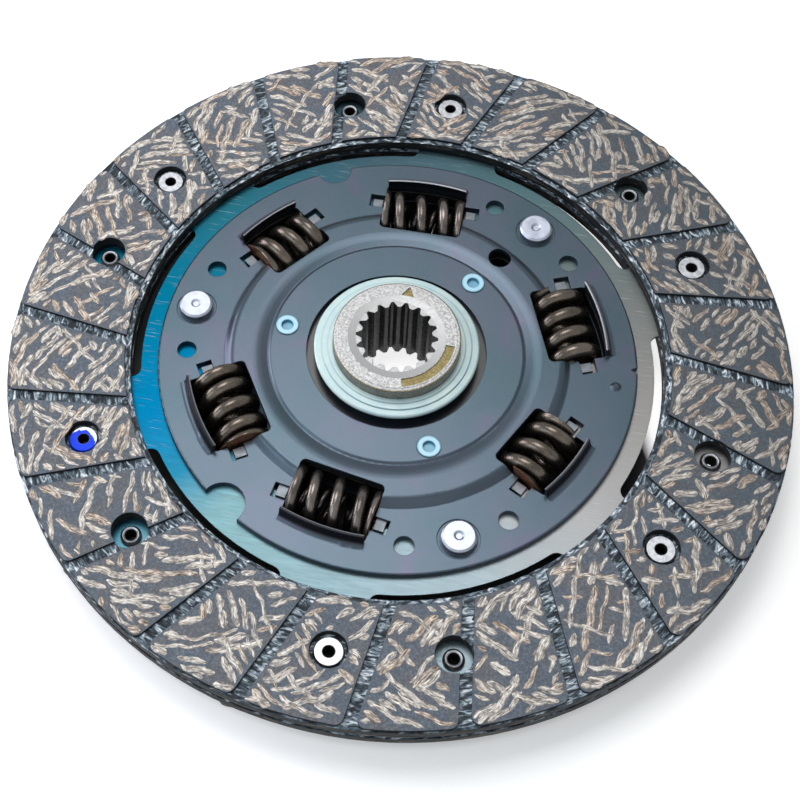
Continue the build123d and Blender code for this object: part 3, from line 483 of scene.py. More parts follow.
def spring_material(name, colour):
    """Oil-tempered wire: a cloudy tone, and bronze where the grain is worn."""
    s = Shader(name).set(Metallic=0.9)
    at = s.object_mm()
    cloud = s.noise(at, 0.22, 4.0)
    grain = s.noise(at, 2.4, 5.0, 0.62)
    tone = s.cloudy(cloud, darker(colour, 0.50), colour)
    tone = s.mix(s.span(grain, 0.50, 0.75, 0.0, 0.3), tone, WIRE_BRONZE)
    s.feed("Base Color", tone)
    s.feed("Roughness", s.span(grain, *GRAIN_ENDS, 0.20, 0.32))
    s.feed("Normal", s.bump(grain, 0.03 * MM, 0.35))
    return s.material


HUB_FACE = ((0.34, (0.18, 0.182, 0.185)), (0.50, (0.31, 0.315, 0.32)),
            (0.66, (0.50, 0.505, 0.51)))
HUB_SPLINE = ((0.40, (0.022, 0.023, 0.024)), (0.65, (0.12, 0.12, 0.12)))
HUB_SIDE = ((0.40, (0.17, 0.165, 0.15)), (0.65, (0.34, 0.33, 0.30)))
HUB_MARKS = ((0.40, (0.12, 0.098, 0.045)), (0.65, (0.26, 0.22, 0.11)))
HUB_LAND = (0.28, 0.285, 0.29)


def hub_material():
    """Bead-blasted steel: bright face, brassy marks, smooth land round a dark, oily spline."""
    s = Shader("hub_steel").set(Metallic=1.0)
    at = s.object_mm()
    _, radius, height = s.polar(at)
    depth = s.calc("SUBTRACT", HUB_TOP, height)
    blast = s.noise(at, 1.9, 4.0, 0.62)
    pits = s.noise(at, 4.0, 3.0, 0.7)
    in_mark = s.span(depth, *MARK_DEPTHS)
    colour = s.mix(in_mark, s.ramp(blast, HUB_FACE), s.ramp(blast, HUB_MARKS))
    land = s.span(radius, *LAND_RADII, 1.0, 0.0)
    colour = s.mix(land, colour, HUB_LAND)
    colour = s.mix(s.span(depth, *HUB_SIDE_DEPTHS), colour, s.ramp(blast, HUB_SIDE))
    in_bore = s.calc("MULTIPLY", s.span(radius, *SPLINE_RADII, 1.0, 0.0),
                     s.span(depth, *SPLINE_DEPTHS))
    colour = s.mix(in_bore, colour, s.ramp(blast, HUB_SPLINE))
    s.feed("Base Color", colour)
    s.feed("Roughness", s.span(blast, *GRAIN_ENDS, 0.40, 0.60))
    rough = s.calc("MULTIPLY", s.calc("ADD", blast, pits), s.calc("SUBTRACT", 1.0, land))
    s.feed("Normal", s.bump(rough, 0.12 * MM, 0.55, s.rounded_edges(0.2)))
    return s.material


def zinc_material(name, colour, roughness):
    """Bright zinc with dull patches."""
    s = Shader(name).set(Metallic=1.0)
    at = s.object_mm()
    patch = s.noise(at, 0.35, 2.0, 0.5)
    fine = s.noise(at, 4.0, 4.0, 0.6)
    s.feed("Base Color", s.cloudy(patch, darker(colour, 0.74), colour))
    s.feed("Roughness", s.span(patch, *CLOUD_ENDS, 0.9 * roughness, 1.1 * roughness))
    s.feed("Normal", s.bump(fine, 0.008 * MM, 0.25, s.rounded_edges(0.25)))
    return s.material


RIVET_TONES = ((0.25, 0.265, 0.29), (0.42, 0.435, 0.46))
BORE_SHADE = 0.002
PAINT_BLUE = (0.0, 0.055, 0.92)


def rivet_material():
    """Zinc rivets: near black down their holes as painted shade, with blue paint left on one head.
    """
    s = Shader("zinc_rivets").set(Metallic=1.0)
    at = s.object_mm()
    patch = s.noise(at, 0.9, 3.0, 0.6)
    tone = s.cloudy(patch, *RIVET_TONES)
    inside = 0.0
    for start in (FRONT_RIVET_DEG, REAR_RIVET_DEG):
        away = s.from_nearest(at, start, RIVET_COUNT, RIVET_PITCH_RADIUS)
        hole = s.span(away, *RIVET_BORE_RADII, 1.0, 0.0)
        inside = s.calc("MAXIMUM", inside, hole)
    # Painted shade: the rivets' holes turn near black.
    tone = s.mix(inside, tone, BORE_SHADE)
    turn = math.radians(PAINT_DEG)
    _, away, _ = s.polar(at, (PAINT_RADIUS * math.cos(turn), PAINT_RADIUS * math.sin(turn)))
    blot = s.calc("ADD", away, s.calc("MULTIPLY", s.noise(at, 0.45, 2.0), PAINT_RAGGED))
    outside = s.calc("SUBTRACT", 1.0, inside)
    paint = s.calc("MULTIPLY", s.span(blot, *PAINT_REACH, 1.0, 0.0), outside)
    s.feed("Base Color", s.mix(paint, tone, PAINT_BLUE))
    s.feed("Metallic", s.calc("SUBTRACT", outside, paint))
    s.set(Specular_IOR_Level=0.15)
    polish = s.span(patch, *CLOUD_ENDS, 0.34, 0.48)
    s.feed("Roughness", s.span(inside, 0.0, 1.0, polish, 1.0))
    s.feed("Normal", s.bump(patch, 0.03 * MM, 0.4, s.rounded_edges(0.25)))
    return s.material


BUSH_TONES = ((0.46, 0.63, 0.66), (0.55, 0.70, 0.68))
BUSH_STEP_SHADE = (0.16, 0.34, 0.40)
BUSH_GAP_SHADE = (0.008, 0.010, 0.016)
BUSH_SCATTER = (0.8, 1.2, 1.4)
# Rings of a peg: (distance from its middle as a share of PEG_SPAN, colour). Its deeper blue is its
# own; the darker rings, in its recess, at the recess's edge and round its foot, are painted shade.
PEG_TONES_AND_SHADE = ((0.42, (0.16, 0.46, 0.62)), (0.50, (0.08, 0.28, 0.40)), (0.58, (0.38, 0.66, 0.80)),
             (0.84, (0.42, 0.72, 0.86)), (0.96, (0.14, 0.34, 0.44)))


def bush_material():
    """Pale blue nylon and deeper blue pegs, with painted shade under its lip and along its steps.
    """
    s = Shader("blue_plastic").set(Metallic=0.0, Roughness=0.30, Subsurface_Weight=0.15)
    at = s.object_mm()
    _, radius, height = s.polar(at)
    cloud = s.noise(at, 0.3, 3.0)
    tone = s.cloudy(cloud, *BUSH_TONES)
    # Painted shade along the bush's steps.
    for step in BUSH_STEP_RADII:
        away = s.calc("ABSOLUTE", s.calc("SUBTRACT", radius, step))
        tone = s.mix(s.span(away, *BUSH_STEP_SHADE_WIDTHS, 0.40, 0.0), tone, BUSH_STEP_SHADE)
    # Painted shade: the bush turns near black in the gap under its lip.
    in_shade = s.calc("MULTIPLY", s.span(radius, *BUSH_GAP_RADII, 1.0, 0.0),
                    s.span(height, *BUSH_GAP_HEIGHTS, 1.0, 0.0))
    tone = s.mix(in_shade, tone, BUSH_GAP_SHADE)
    # The pegs: their own deeper blue, with painted shade in the darker rings.
    away = s.from_nearest(at, PEG_DEG, PEG_COUNT, PEG_PITCH_RADIUS)
    peg = s.ramp(s.calc("DIVIDE", away, PEG_SPAN), PEG_TONES_AND_SHADE)
    tone = s.mix(s.span(radius, *BUSH_GAP_RADII), tone, peg)
    s.feed("Base Color", tone)
    s.set(Subsurface_Radius=[reach * MM for reach in BUSH_SCATTER], Subsurface_Scale=1.0)
    s.feed("Normal", s.bump(cloud, 0.03 * MM, 0.4, s.rounded_edges(0.35)))
    return s.material


def plastic_material(name, colour, roughness):
    """Moulded plastic with a faint cloudiness."""
    s = Shader(name).set(Metallic=0.0, Roughness=roughness)
    at = s.object_mm()
    cloud = s.noise(at, 0.3, 3.0)
    s.feed("Base Color", s.cloudy(cloud, darker(colour, 0.84), colour))
    s.feed("Normal", s.bump(cloud, 0.03 * MM, 0.4, s.rounded_edges(0.35)))
    return s.material


# ------------------------------------------------------------------ mesh helpers

def make_object(name, vertices, faces, material, attributes=None):
    """A smooth mesh object from points in millimetres, with optional point attributes."""
    mesh = bpy.data.meshes.new(name)
    mesh.from_pydata([(x * MM, y * MM, z * MM) for x, y, z in vertices], [], faces)
    mesh.update()
    mesh.polygons.foreach_set("use_smooth", [True] * len(mesh.polygons))
    for label, values in (attributes or {}).items():
        made = mesh.attributes.new(label, "FLOAT", "POINT")
        made.data.foreach_set("value", values)
    mesh.materials.append(material)
    made = bpy.data.objects.new(name, mesh)
    bpy.context.scene.collection.objects.link(made)
    return made


def dress(node, material):
    """Gives a CAD node its finish."""
    mesh = NODES[node].data
    mesh.materials.clear()
    mesh.materials.append(material)


# ------------------------------------------------------------------ yarn in the facings

# Strands are drawn one after another from a seed, in bundles that lie side by side.
YARN_SEED = 11
FRONT_BUNDLES = 2200
REAR_BUNDLES = 1300
YARN_BUNDLE = (1, 2, 3, 4)
YARN_SPACING = (2.0, 3.2)
YARN_STEP = 0.7
YARN_LENGTHS = (5.0, 8.0, 10.0, 12.0, 15.0, 18.0)
YARN_STRETCH = (0.75, 1.2)
YARN_WIDTHS = (1.15, 2.4)
YARN_HEIGHTS = (0.0, 0.045)
YARN_EDGE_GAP = 0.35
YARN_LEAST_POINTS = 4

# The course of the yarn: waves between the pads' inner and outer edges.
YARN_LOBES = (5.0, 6.0, 7.0)
YARN_SWING_MARGIN = 0.6
YARN_PHASE_SPREAD = 0.2
YARN_OFFSET_SPREAD = 0.8
YARN_WOBBLE = (0.15, 0.5)
YARN_WOBBLE_RATE = 0.9

# Strands that would lie over earlier ones are left out: the share of their cells that may be.
YARN_CELL = 0.75
YARN_OVERLAP = 0.12

# Short strands in a facing's walls.
RIM_STRANDS = 110
INNER_STRANDS = 90
WALL_MARGIN = 0.4
WALL_EDGE_GAP = 0.25
WALL_POINTS = (5, 16)
WALL_SLOPE = 0.10
WALL_WIDTHS = (0.35, 0.9)
WALL_TONES = (0.5, 1.0)
WALL_HEIGHT = 0.03
# Painted shade: strands in the walls darken by this share towards near black, as the walls do.
WALL_SHADE = 0.88


def rivet_centres():
    """Centres of a facing's six rivet seats and six rivet holes."""
    for start in (FRONT_RIVET_DEG, REAR_RIVET_DEG):
        for k in range(RIVET_COUNT):
            angle = math.radians(start + 360 * k / RIVET_COUNT)
            yield RIVET_PITCH_RADIUS * math.cos(angle), RIVET_PITCH_RADIUS * math.sin(angle)


RIVET_CENTRES = tuple(rivet_centres())


def groove_gap(x, y):
    """Distance from the nearest groove's centre line."""
    pitch = 2 * math.pi / PAD_COUNT
    radius = math.hypot(x, y)
    slant = math.radians(GROOVE_SLANT_DEG)
    bend = slant - math.asin(min(1.0, GROOVE_PHASE_RADIUS * math.sin(slant) / radius))
    turn = math.atan2(y, x) - math.radians(GROOVE_PHASE_DEG) + bend
    turn -= pitch * round(turn / pitch)
    angle = turn - bend
    px, py = radius * math.cos(angle), radius * math.sin(angle)
    return abs((px - GROOVE_PHASE_RADIUS) * math.sin(-slant) - py * math.cos(-slant))


def on_pad(x, y):
    """Whether a point of a facing's working face is well on a pad, clear of the rivets."""
    radius = math.hypot(x, y)
    if not PAD_INNER_RADIUS + YARN_EDGE_GAP < radius < PAD_OUTER_RADIUS - YARN_EDGE_GAP:
        return False
    if groove_gap(x, y) < GROOVE_WIDTH / 2 + YARN_EDGE_GAP:
        return False
    return all(math.hypot(x - rivet_x, y - rivet_y) > FACING_HOLE_RADIUS + YARN_EDGE_GAP / 2
               for rivet_x, rivet_y in RIVET_CENTRES)


def yarn_path(rng, lobes, phase, angle, way):
    """Points of one strand on the wound yarn's wavy course round the facing."""
    middle = (PAD_INNER_RADIUS + PAD_OUTER_RADIUS) / 2
    swing = (PAD_OUTER_RADIUS - PAD_INNER_RADIUS) / 2 - YARN_SWING_MARGIN
    length = rng.choice(YARN_LENGTHS) * rng.uniform(*YARN_STRETCH)
    wobble = rng.uniform(*YARN_WOBBLE)
    wobble_turn = rng.uniform(0, 2 * math.pi)
    offset = rng.gauss(0, YARN_OFFSET_SPREAD)
    points = []
    travelled = 0.0
    while travelled < length:
        radius = middle + swing * math.cos(phase) + offset
        radius += wobble * math.sin(wobble_turn + travelled * YARN_WOBBLE_RATE)
        points.append((radius * math.cos(angle), radius * math.sin(angle)))
        rate = math.hypot(swing * lobes * math.sin(phase), radius)
        step = YARN_STEP / rate
        phase += lobes * step
        angle += way * step
        travelled += YARN_STEP
    return points


def yarn_runs(points):
    """The stretches of a strand that lie on pads, without the shortest."""
    run = []
    for x, y in points:
        if on_pad(x, y):
            run.append((x, y))
            continue
        if len(run) >= YARN_LEAST_POINTS:
            yield run
        run = []
    if len(run) >= YARN_LEAST_POINTS:
        yield run


def folds_over(start, end):
    """Whether a ribbon's step folds over itself at either side, as at a sharp bend."""
    (x0, y0), (ax, ay) = start
    (x1, y1), (bx, by) = end
    middle_x, middle_y = (ay + by) / 2, -(ax + bx) / 2
    for side in (-1, 1):
        step_x = x1 + side * bx - x0 - side * ax
        step_y = y1 + side * by - y0 - side * ay
        if step_x * middle_x + step_y * middle_y <= 0:
            return True
    return False


class Ribbons:
    """Collects thin crowned ribbons into one mesh."""

    # A cross-section's points: place from edge to edge, and lift in millimetres.
    ACROSS = (-1.0, -0.55, 0.55, 1.0)
    CROWN = (-0.03, 0.035, 0.035, -0.03)
    # The width varies between these shares, and narrows to a tip over some steps.
    RAGGED = (0.72, 1.15)
    TIP_WIDTH = 0.45
    TIP_STEPS = 1.8

    def __init__(self):
        self.vertices = []
        self.faces = []
        self.tone = []
        self.along = []
        self.across = []
        self.rim = []

    def add(self, rng, points, width, tone, height, place):
        """One ribbon along flat points; place(x, y, lift) puts a point on the surface."""
        first = len(self.vertices)
        count = len(points)
        ragged = [rng.uniform(*self.RAGGED) for _ in points]
        edges = []
        for k, (x, y) in enumerate(points):
            before = points[max(0, k - 1)]
            after = points[min(count - 1, k + 1)]
            dx, dy = after[0] - before[0], after[1] - before[1]
            size = math.hypot(dx, dy) or 1.0
            taper = min(1.0, (min(k, count - 1 - k) + self.TIP_WIDTH) / self.TIP_STEPS)
            half = 0.5 * width * taper * ragged[k]
            edges.append(((x, y), (-dy / size * half, dx / size * half)))
            for side, lift in zip(self.ACROSS, self.CROWN):
                px = x - dy / size * half * side
                py = y + dx / size * half * side
                self.vertices.append(place(px, py, lift + height))
                self.tone.append(tone)
                self.along.append(k * YARN_STEP)
                self.across.append(side * half)
                self.rim.append(abs(side))
        lanes = len(self.ACROSS)
        for k in range(count - 1):
            if folds_over(edges[k], edges[k + 1]):
                continue
            for lane in range(lanes - 1):
                corner = first + k * lanes + lane
                self.faces.append((corner, corner + 1, corner + lanes + 1, corner + lanes))

    def build(self, name, material, flip=False):
        """The mesh of all ribbons, riding with the facings; flip turns its faces round."""
        faces = [face[::-1] for face in self.faces] if flip else self.faces
        values = {"tone": self.tone, "along": self.along, "across": self.across, "rim": self.rim}
        made = make_object(name, self.vertices, faces, material, values)
        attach(made, "plate_body")


def pad_yarns(name, place, bundles, seed, material):
    """Yarn strands ground nearly flush with the pads of one facing."""
    rng = random.Random(seed)
    ribbons = Ribbons()
    used = set()
    for _ in range(bundles):
        lobes = rng.choice(YARN_LOBES)
        phase = rng.uniform(0, 2 * math.pi)
        angle = rng.uniform(0, 2 * math.pi)
        way = rng.choice((-1, 1))
        for _ in range(rng.choice(YARN_BUNDLE)):
            # The strands of a bundle lie side by side.
            angle += rng.uniform(*YARN_SPACING) / PAD_OUTER_RADIUS
            start = phase + rng.gauss(0, YARN_PHASE_SPREAD)
            points = yarn_path(rng, lobes, start, angle, way)
            width = rng.uniform(*YARN_WIDTHS)
            tone = rng.random()
            for run in yarn_runs(points):
                cells = {(round(x / YARN_CELL), round(y / YARN_CELL)) for x, y in run}
                near = {(i + right, j + up)
                        for i, j in cells for right in (-1, 0, 1) for up in (-1, 0, 1)}
                if len(near & used) > YARN_OVERLAP * len(near):
                    continue
                used |= cells
                # No two strands lie at one height, as faces in one plane would darken each other.
                height = rng.uniform(*YARN_HEIGHTS)
                ribbons.add(rng, run, width, tone, height, place)
    ribbons.build(name, material)


def wall_yarns(name, radius, low, high, outward, strands, seed, material):
    """Short strands lying along a facing's outer rim (outward 1) or inner wall (outward -1)."""
    rng = random.Random(seed)
    ribbons = Ribbons()

    def place(along, level, lift):
        reach = radius + outward * lift
        return reach * math.cos(along / radius), reach * math.sin(along / radius), level

    for _ in range(strands):
        start = rng.uniform(0, 2 * math.pi)
        level = rng.uniform(low + WALL_MARGIN, high - WALL_MARGIN)
        count = rng.randrange(*WALL_POINTS)
        slope = rng.uniform(-WALL_SLOPE, WALL_SLOPE)
        points = [(start * radius + k * YARN_STEP, level + slope * k) for k in range(count)]
        points = [(along, min(high - WALL_EDGE_GAP, max(low + WALL_EDGE_GAP, rise)))
                  for along, rise in points]
        width = rng.uniform(*WALL_WIDTHS)
        tone = rng.uniform(*WALL_TONES)
        ribbons.add(rng, points, width, tone, WALL_HEIGHT, place)
    ribbons.build(name, material, flip=outward > 0)


def add_yarns():
    """Yarn strands on both facings' working faces, outer rims and inner walls."""
    material = yarn_material("yarn_strands", 0.0)
    # Strands in the walls get painted shade.
    in_shade = yarn_material("strands_in_shade", WALL_SHADE)
    # The rear facing is the same moulding turned over about a line between its rivets.
    turning = math.radians(FRONT_RIVET_DEG + REAR_RIVET_DEG)

    def upward(x, y, lift):
        return x, y, FACING_TOP + lift

    def turned_over(x, y, lift):
        return (x * math.cos(turning) + y * math.sin(turning),
                x * math.sin(turning) - y * math.cos(turning), REAR_BACK - lift)

    pad_yarns("front_facing_yarns", upward, FRONT_BUNDLES, YARN_SEED, material)
    pad_yarns("rear_facing_yarns", turned_over, REAR_BUNDLES, YARN_SEED + 1, material)
    front = (FACING_BACK, FACING_TOP - PAD_HEIGHT)
    rear = (REAR_BACK + PAD_HEIGHT, REAR_TOP)
    walls = (
        ("front_rim_yarns", FACING_OUTER_RADIUS, front, 1, RIM_STRANDS),
        ("rear_rim_yarns", FACING_OUTER_RADIUS, rear, 1, RIM_STRANDS),
        ("front_inner_yarns", FACING_INNER_RADIUS, front, -1, INNER_STRANDS),
        ("rear_inner_yarns", FACING_INNER_RADIUS, rear, -1, INNER_STRANDS),
    )
    for seed, (name, radius, (low, high), outward, strands) in enumerate(walls, YARN_SEED + 2):
        wall_yarns(name, radius, low, high, outward, strands, seed, in_shade)


# ------------------------------------------------------------------ springs

HEAVY = {"wire": 3.7, "pitch": 5.7, "dia": SPRING_OUTER_DIA, "hand": 1,
         "finish": "bronze_wire", "colour": (0.112, 0.096, 0.081)}
LIGHT = {"wire": 2.8, "pitch": 6.0, "dia": SPRING_OUTER_DIA, "hand": 1,
         "finish": "steel_wire", "colour": (0.134, 0.120, 0.111)}
INNER = {"wire": 2.0, "pitch": 4.2, "dia": 9.0, "hand": -1,
         "finish": "inner_wire", "colour": (0.040, 0.038, 0.037)}
SPRINGS = (
    # (node, window, kind, turns from the clockwise end to the first crown)
    ("main_spring_1", 0, HEAVY, 1.04), ("main_spring_2", 1, HEAVY, 0.81),
    ("main_spring_3", 3, HEAVY, 0.86), ("main_spring_4", 4, HEAVY, 0.51),
    ("light_spring_1", 2, LIGHT, 0.50), ("light_spring_2", 5, LIGHT, 0.57),
    ("inner_spring_1", 2, INNER, 0.50), ("inner_spring_2", 5, INNER, 0.57),
)
WIRE_SIDES = 24
STEPS_PER_TURN = 40
# A closed end turn rises by this much of its wire, and grinding takes this much of that rise.
CLOSED_TURN_PITCH = 1.02
GROUND_TIP = 0.25
ON_END = 1e-6
SHARP_DEG = 50


def spring_mesh(kind, length, first_crown):
    """Points and faces of a closed and ground coil spring along +Y, in millimetres.

    The third result lists the faces that lie on its two ground ends.
    """
    wire, pitch = kind["wire"], kind["pitch"]
    radius = (kind["dia"] - wire) / 2
    closed = wire * CLOSED_TURN_PITCH
    end_rise = closed * (1 - GROUND_TIP)
    middle = length - 2 * end_rise
    active = middle / pitch
    turns = active + 2
    count = math.ceil(turns * STEPS_PER_TURN)

    def rise(turn):
        if turn < 1:
            return end_rise + closed * (turn - 1)
        if turn > 1 + active:
            return end_rise + middle + closed * (turn - 1 - active)
        return end_rise + pitch * (turn - 1)

    vertices, faces = [], []
    for k in range(count + 1):
        turn = turns * k / count
        angle = math.pi / 2 - kind["hand"] * 2 * math.pi * (turn - first_crown)
        out = Vector((math.cos(angle), 0, math.sin(angle)))
        centre = out * radius + Vector((0, rise(turn) - length / 2, 0))
        for side in range(WIRE_SIDES):
            spin = 2 * math.pi * side / WIRE_SIDES * -kind["hand"]
            point = centre + out * (wire / 2 * math.cos(spin))
            point.y += wire / 2 * math.sin(spin)
            # The ends are ground flat, so nothing stands beyond the spring's length.
            point.y = max(-length / 2, min(length / 2, point.y))
            vertices.append(tuple(point))
    for k in range(count):
        for side in range(WIRE_SIDES):
            here = k * WIRE_SIDES + side
            beside = k * WIRE_SIDES + (side + 1) % WIRE_SIDES
            faces.append((here, beside, beside + WIRE_SIDES, here + WIRE_SIDES))
    faces.append(tuple(range(WIRE_SIDES))[::-1])
    faces.append(tuple(count * WIRE_SIDES + side for side in range(WIRE_SIDES)))
    ground = [k for k, face in enumerate(faces)
              if all(abs(vertices[corner][1]) >= length / 2 - ON_END for corner in face)]
    return vertices, faces, ground


def place_springs():
    """Every damper spring, in its window, riding half-way with the damper."""
    wires = {kind["finish"]: spring_material(kind["finish"], kind["colour"])
             for kind in (HEAVY, LIGHT, INNER)}
    ground_end = plain_metal("ground_end", (0.42, 0.20, 0.11), 0.38)
    for node, window, kind, first_crown in SPRINGS:
        turn = math.radians(WINDOW_ANGLES[window])
        move = Matrix.Rotation(turn, 4, "Z") @ Matrix.Translation(
            (SPRING_PITCH_RADIUS, 0, DAMPER_MIDDLE_Z))
        vertices, faces, ground = spring_mesh(kind, SPRING_LENGTHS[window], first_crown)
        moved = [tuple(move @ Vector(point)) for point in vertices]
        made = make_object(node + "_coil", moved, faces, wires[kind["finish"]])
        made.data.set_sharp_from_angle(angle=math.radians(SHARP_DEG))
        made.data.materials.append(ground_end)
        for face in ground:
            made.data.polygons[face].material_index = 1
        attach(made, "spring_pack")
        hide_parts(node)
        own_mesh(made)


# ------------------------------------------------------------------ camera, lights, stage

# The camera as fitted to the photograph. It sees the middle of the facing's working face
# this far to its right, below it and ahead of it.
DISC_FROM_CAMERA = (25.99, 4.52, 391.23)
CAMERA_TURN_DEG = 48.533
CAMERA_ELEVATION_DEG = 57.67
CAMERA_ROLL_DEG = -3.01
FOCAL_PIXELS = 1525.0
PRINCIPAL_PIXELS = (295.0, 330.7)
IMAGE_PIXELS = 800
SENSOR_MM = 36.0
CLIP_START = 0.01


def add_camera():
    """The camera at the photograph's angle, with its lens shift."""
    elevation = math.radians(CAMERA_ELEVATION_DEG)
    roll = math.radians(CAMERA_ROLL_DEG)
    cosine, sine = math.cos(elevation), math.sin(elevation)
    tilt = Matrix(((1, 0, 0), (0, -sine, -cosine), (0, cosine, -sine)))
    spin = Matrix(((math.cos(roll), -math.sin(roll), 0), (math.sin(roll), math.cos(roll), 0),
                   (0, 0, 1)))
    to_view = spin @ tilt
    turn = Matrix.Rotation(math.radians(CAMERA_TURN_DEG), 3, "Z")
    place = turn @ (to_view.transposed() @ -Vector(DISC_FROM_CAMERA))
    place.z += FACING_TOP
    right, down, ahead = (turn @ to_view[row] for row in range(3))
    axes = Matrix((right, -down, -ahead)).transposed()
    data = bpy.data.cameras.new("camera")
    data.sensor_width = SENSOR_MM
    data.lens = FOCAL_PIXELS * SENSOR_MM / IMAGE_PIXELS
    data.shift_x = 0.5 - PRINCIPAL_PIXELS[0] / IMAGE_PIXELS
    data.shift_y = PRINCIPAL_PIXELS[1] / IMAGE_PIXELS - 0.5
    data.clip_start = CLIP_START
    camera = bpy.data.objects.new("camera", data)
    camera.matrix_world = Matrix.Translation(place * MM) @ axes.to_4x4()
    bpy.context.scene.collection.objects.link(camera)
    bpy.context.scene.camera = camera


LAMPS = (
    # (name, place in metres in the camera's own heading, side in metres, watts, colour)
    ("key", (-0.10, 0.34, 1.04), 0.56, 6.6, (1.0, 0.98, 0.96)),
    ("left_sky", (-0.50, -0.20, 0.42), 0.36, 1.2, (0.78, 0.90, 1.0)),
    ("left_low", (-0.80, 0.42, 0.26), 0.50, 5.6, (0.97, 0.92, 1.0)),
    ("near_fill", (0.1, -1.0, 0.8), 0.9, 1.1, (1.0, 1.0, 1.0)),
)


def add_lamps():
    """Soft square lamps, aimed at the disc's middle."""
    turn = Matrix.Rotation(math.radians(CAMERA_TURN_DEG), 4, "Z")
    for name, place, side, power, colour in LAMPS:
        data = bpy.data.lights.new(name, "AREA")
        data.shape = "SQUARE"
        data.size = side
        data.energy = power
        data.color = colour
        lamp = bpy.data.objects.new(name, data)
        at = turn @ Vector(place)
        aim = (-at).to_track_quat("-Z", "Y").to_matrix().to_4x4()
        lamp.matrix_world = Matrix.Translation(at) @ aim
        bpy.context.scene.collection.objects.link(lamp)


def seen_rays(tree):
    """1 for the rays that show the background itself, and 0 for those that light by it."""
    path = tree.nodes.new("ShaderNodeLightPath")
    seen = path.outputs["Is Camera Ray"]
    for kind in ("Is Glossy Ray", "Is Transmission Ray"):
        either = tree.nodes.new("ShaderNodeMath")
        either.operation = "MAXIMUM"
        tree.links.new(seen, either.inputs[0])
        tree.links.new(path.outputs[kind], either.inputs[1])
        seen = either.outputs[0]
    return seen


WORLD_LIGHT = (0.86, 0.93, 1.0, 1.0)
WORLD_LEVEL = 0.22


def add_world():
    """Even pale surroundings: white to the camera and in reflections, softer as light."""
    world = bpy.data.worlds.new("studio")
    world.use_nodes = True
    tree = world.node_tree
    tree.nodes.clear()
    output = tree.nodes.new("ShaderNodeOutputWorld")
    seen = tree.nodes.new("ShaderNodeBackground")
    seen.inputs["Color"].default_value = (1, 1, 1, 1)
    seen.inputs["Strength"].default_value = 1.0
    felt = tree.nodes.new("ShaderNodeBackground")
    felt.inputs["Color"].default_value = WORLD_LIGHT
    felt.inputs["Strength"].default_value = WORLD_LEVEL
    mix = tree.nodes.new("ShaderNodeMixShader")
    tree.links.new(seen_rays(tree), mix.inputs[0])
    tree.links.new(felt.outputs[0], mix.inputs[1])
    tree.links.new(seen.outputs[0], mix.inputs[2])
    tree.links.new(mix.outputs[0], output.inputs["Surface"])
    bpy.context.scene.world = world


# Floor: sizes in metres, then colour and glow, then the millimetres between which it opens.
FLOOR_REACH = 3.0
FLOOR_DROP = 0.0001
FLOOR_PALE = 0.90
FLOOR_PAINTED_SHADOW = 0.10
FLOOR_GLOW = 0.40
HOLE_GLOW = 2.0
OPEN_STARTS = (92.0, 99.0)
BORE_ENDS = (11.0, 14.0)
OPEN_NOTCH_DEG = 58.0
OPEN_NOTCH_STARTS = (57.0, 61.0)


def add_floor():
    """Pale floor just under the hub's rear end, with a painted shadow where the disc covers it."""
    reach = FLOOR_REACH
    mesh = bpy.data.meshes.new("floor")
    corners = [(-reach, -reach, 0), (reach, -reach, 0), (reach, reach, 0), (-reach, reach, 0)]
    mesh.from_pydata(corners, [], [(0, 1, 2, 3)])
    floor = bpy.data.objects.new("floor", mesh)
    floor.location.z = -FLOOR_DROP
    bpy.context.scene.collection.objects.link(floor)
    s = Shader("pale_floor").set(Roughness=0.9, Specular_IOR_Level=0.1)
    s.set(Emission_Color=(1.0, 1.0, 1.0, 1.0))
    # Under the disc the floor is dark, a painted shadow; below the bore and one open notch it
    # glows, as painted light.
    at = s.object_mm()
    _, radius, _ = s.polar(at)
    bore = s.span(radius, *BORE_ENDS, HOLE_GLOW, 0)
    open_floor = s.calc("MAXIMUM", s.span(radius, *OPEN_STARTS), bore)
    notch = s.span(s.toward(at, OPEN_NOTCH_DEG), *OPEN_NOTCH_STARTS)
    notch = s.calc("MULTIPLY", notch, s.span(radius, *OPEN_STARTS, HOLE_GLOW, 1))
    open_floor = s.calc("MAXIMUM", open_floor, notch)
    glow = s.calc("MULTIPLY", open_floor, FLOOR_GLOW)
    s.feed("Emission Strength", s.calc("MULTIPLY", seen_rays(s.tree), glow))
    s.feed("Base Color", s.mix(open_floor, FLOOR_PAINTED_SHADOW, FLOOR_PALE))
    # Seen from below the floor is clear, so that the rear face shows.
    s.feed("Alpha", s.calc("SUBTRACT", 1.0, s.node("NewGeometry").outputs["Backfacing"]))
    mesh.materials.append(s.material)


# ------------------------------------------------------------------ putting it together

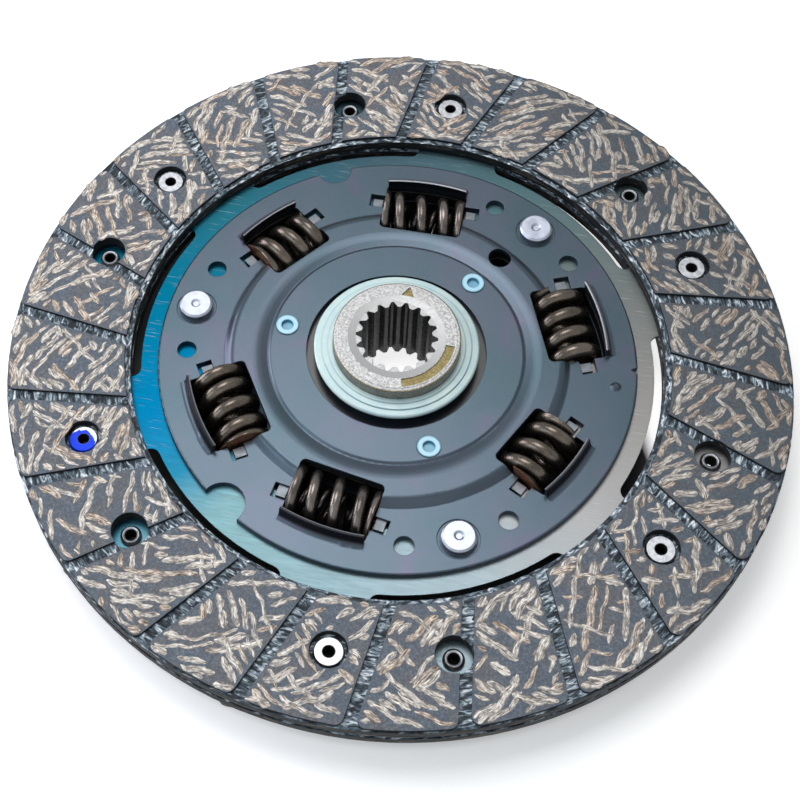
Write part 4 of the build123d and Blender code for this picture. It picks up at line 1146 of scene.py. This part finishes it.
def within(value, pair):
    """Whether a value lies between the two of a pair."""
    return pair[0] < value < pair[1]


def brighten_tabs(node, material):
    """Gives the lugs beside a cover plate's windows a lighter finish of their own, as a painted
    highlight.
    """
    mesh = NODES[node].data
    mesh.materials.append(material)
    for face in mesh.polygons:
        x, y, z = (part / MM for part in face.center)
        if not within(abs(z - DAMPER_MIDDLE_Z), TAB_REACH):
            continue
        for angle, length in zip(WINDOW_ANGLES, SPRING_LENGTHS):
            turn = math.radians(angle)
            out = x * math.cos(turn) + y * math.sin(turn)
            beyond = abs(y * math.cos(turn) - x * math.sin(turn)) - length / 2
            if within(out, TAB_RADII) and within(beyond, TAB_BEYOND_SPRING):
                face.material_index = 1


COVER_NODES = ("front_cover_plate", "rear_cover_plate")
PIN_NODES = ("stop_pin_1", "stop_pin_2", "stop_pin_3")


def dress_nodes():
    """Finishes for the CAD nodes that are shown."""
    cover = cover_material()
    zinc = zinc_material("zinc_pins", (0.34, 0.37, 0.44), 0.40)
    rivet = rivet_material()
    strip = plain_metal("strip_steel", (0.40, 0.41, 0.42), 0.35)
    finishes = {
        "front_facing": facing_matrix("facing_matrix_front", FACING_TOP, 1.0),
        "rear_facing": facing_matrix("facing_matrix_rear", REAR_BACK, -1.0),
        "carrier_disc": carrier_material(),
        "front_facing_rivets": rivet,
        "rear_facing_rivets": rivet,
        "hub": hub_material(),
        "hub_flange": plain_metal("flange_steel", (0.075, 0.075, 0.08), 0.45),
        "front_bush": bush_material(),
        "rear_friction_ring": plastic_material("dark_plastic", (0.06, 0.055, 0.05), 0.45),
        "front_friction_washer": strip,
        "pressure_washer": strip,
        "diaphragm_spring": strip,
    }
    for node in COVER_NODES:
        finishes[node] = cover
    for node in PIN_NODES:
        finishes[node] = zinc
    for node, material in finishes.items():
        dress(node, material)
    # Painted highlight: the lugs beside the windows are lighter than the rest of the plate.
    tab_highlight = plain_metal("tab_highlight_steel", (0.13, 0.145, 0.165), 0.42)
    for node in COVER_NODES:
        brighten_tabs(node, tab_highlight)


bpy.context.scene.view_settings.view_transform = "Standard"
dress_nodes()
add_yarns()
place_springs()
add_camera()
add_lamps()
add_world()
add_floor()
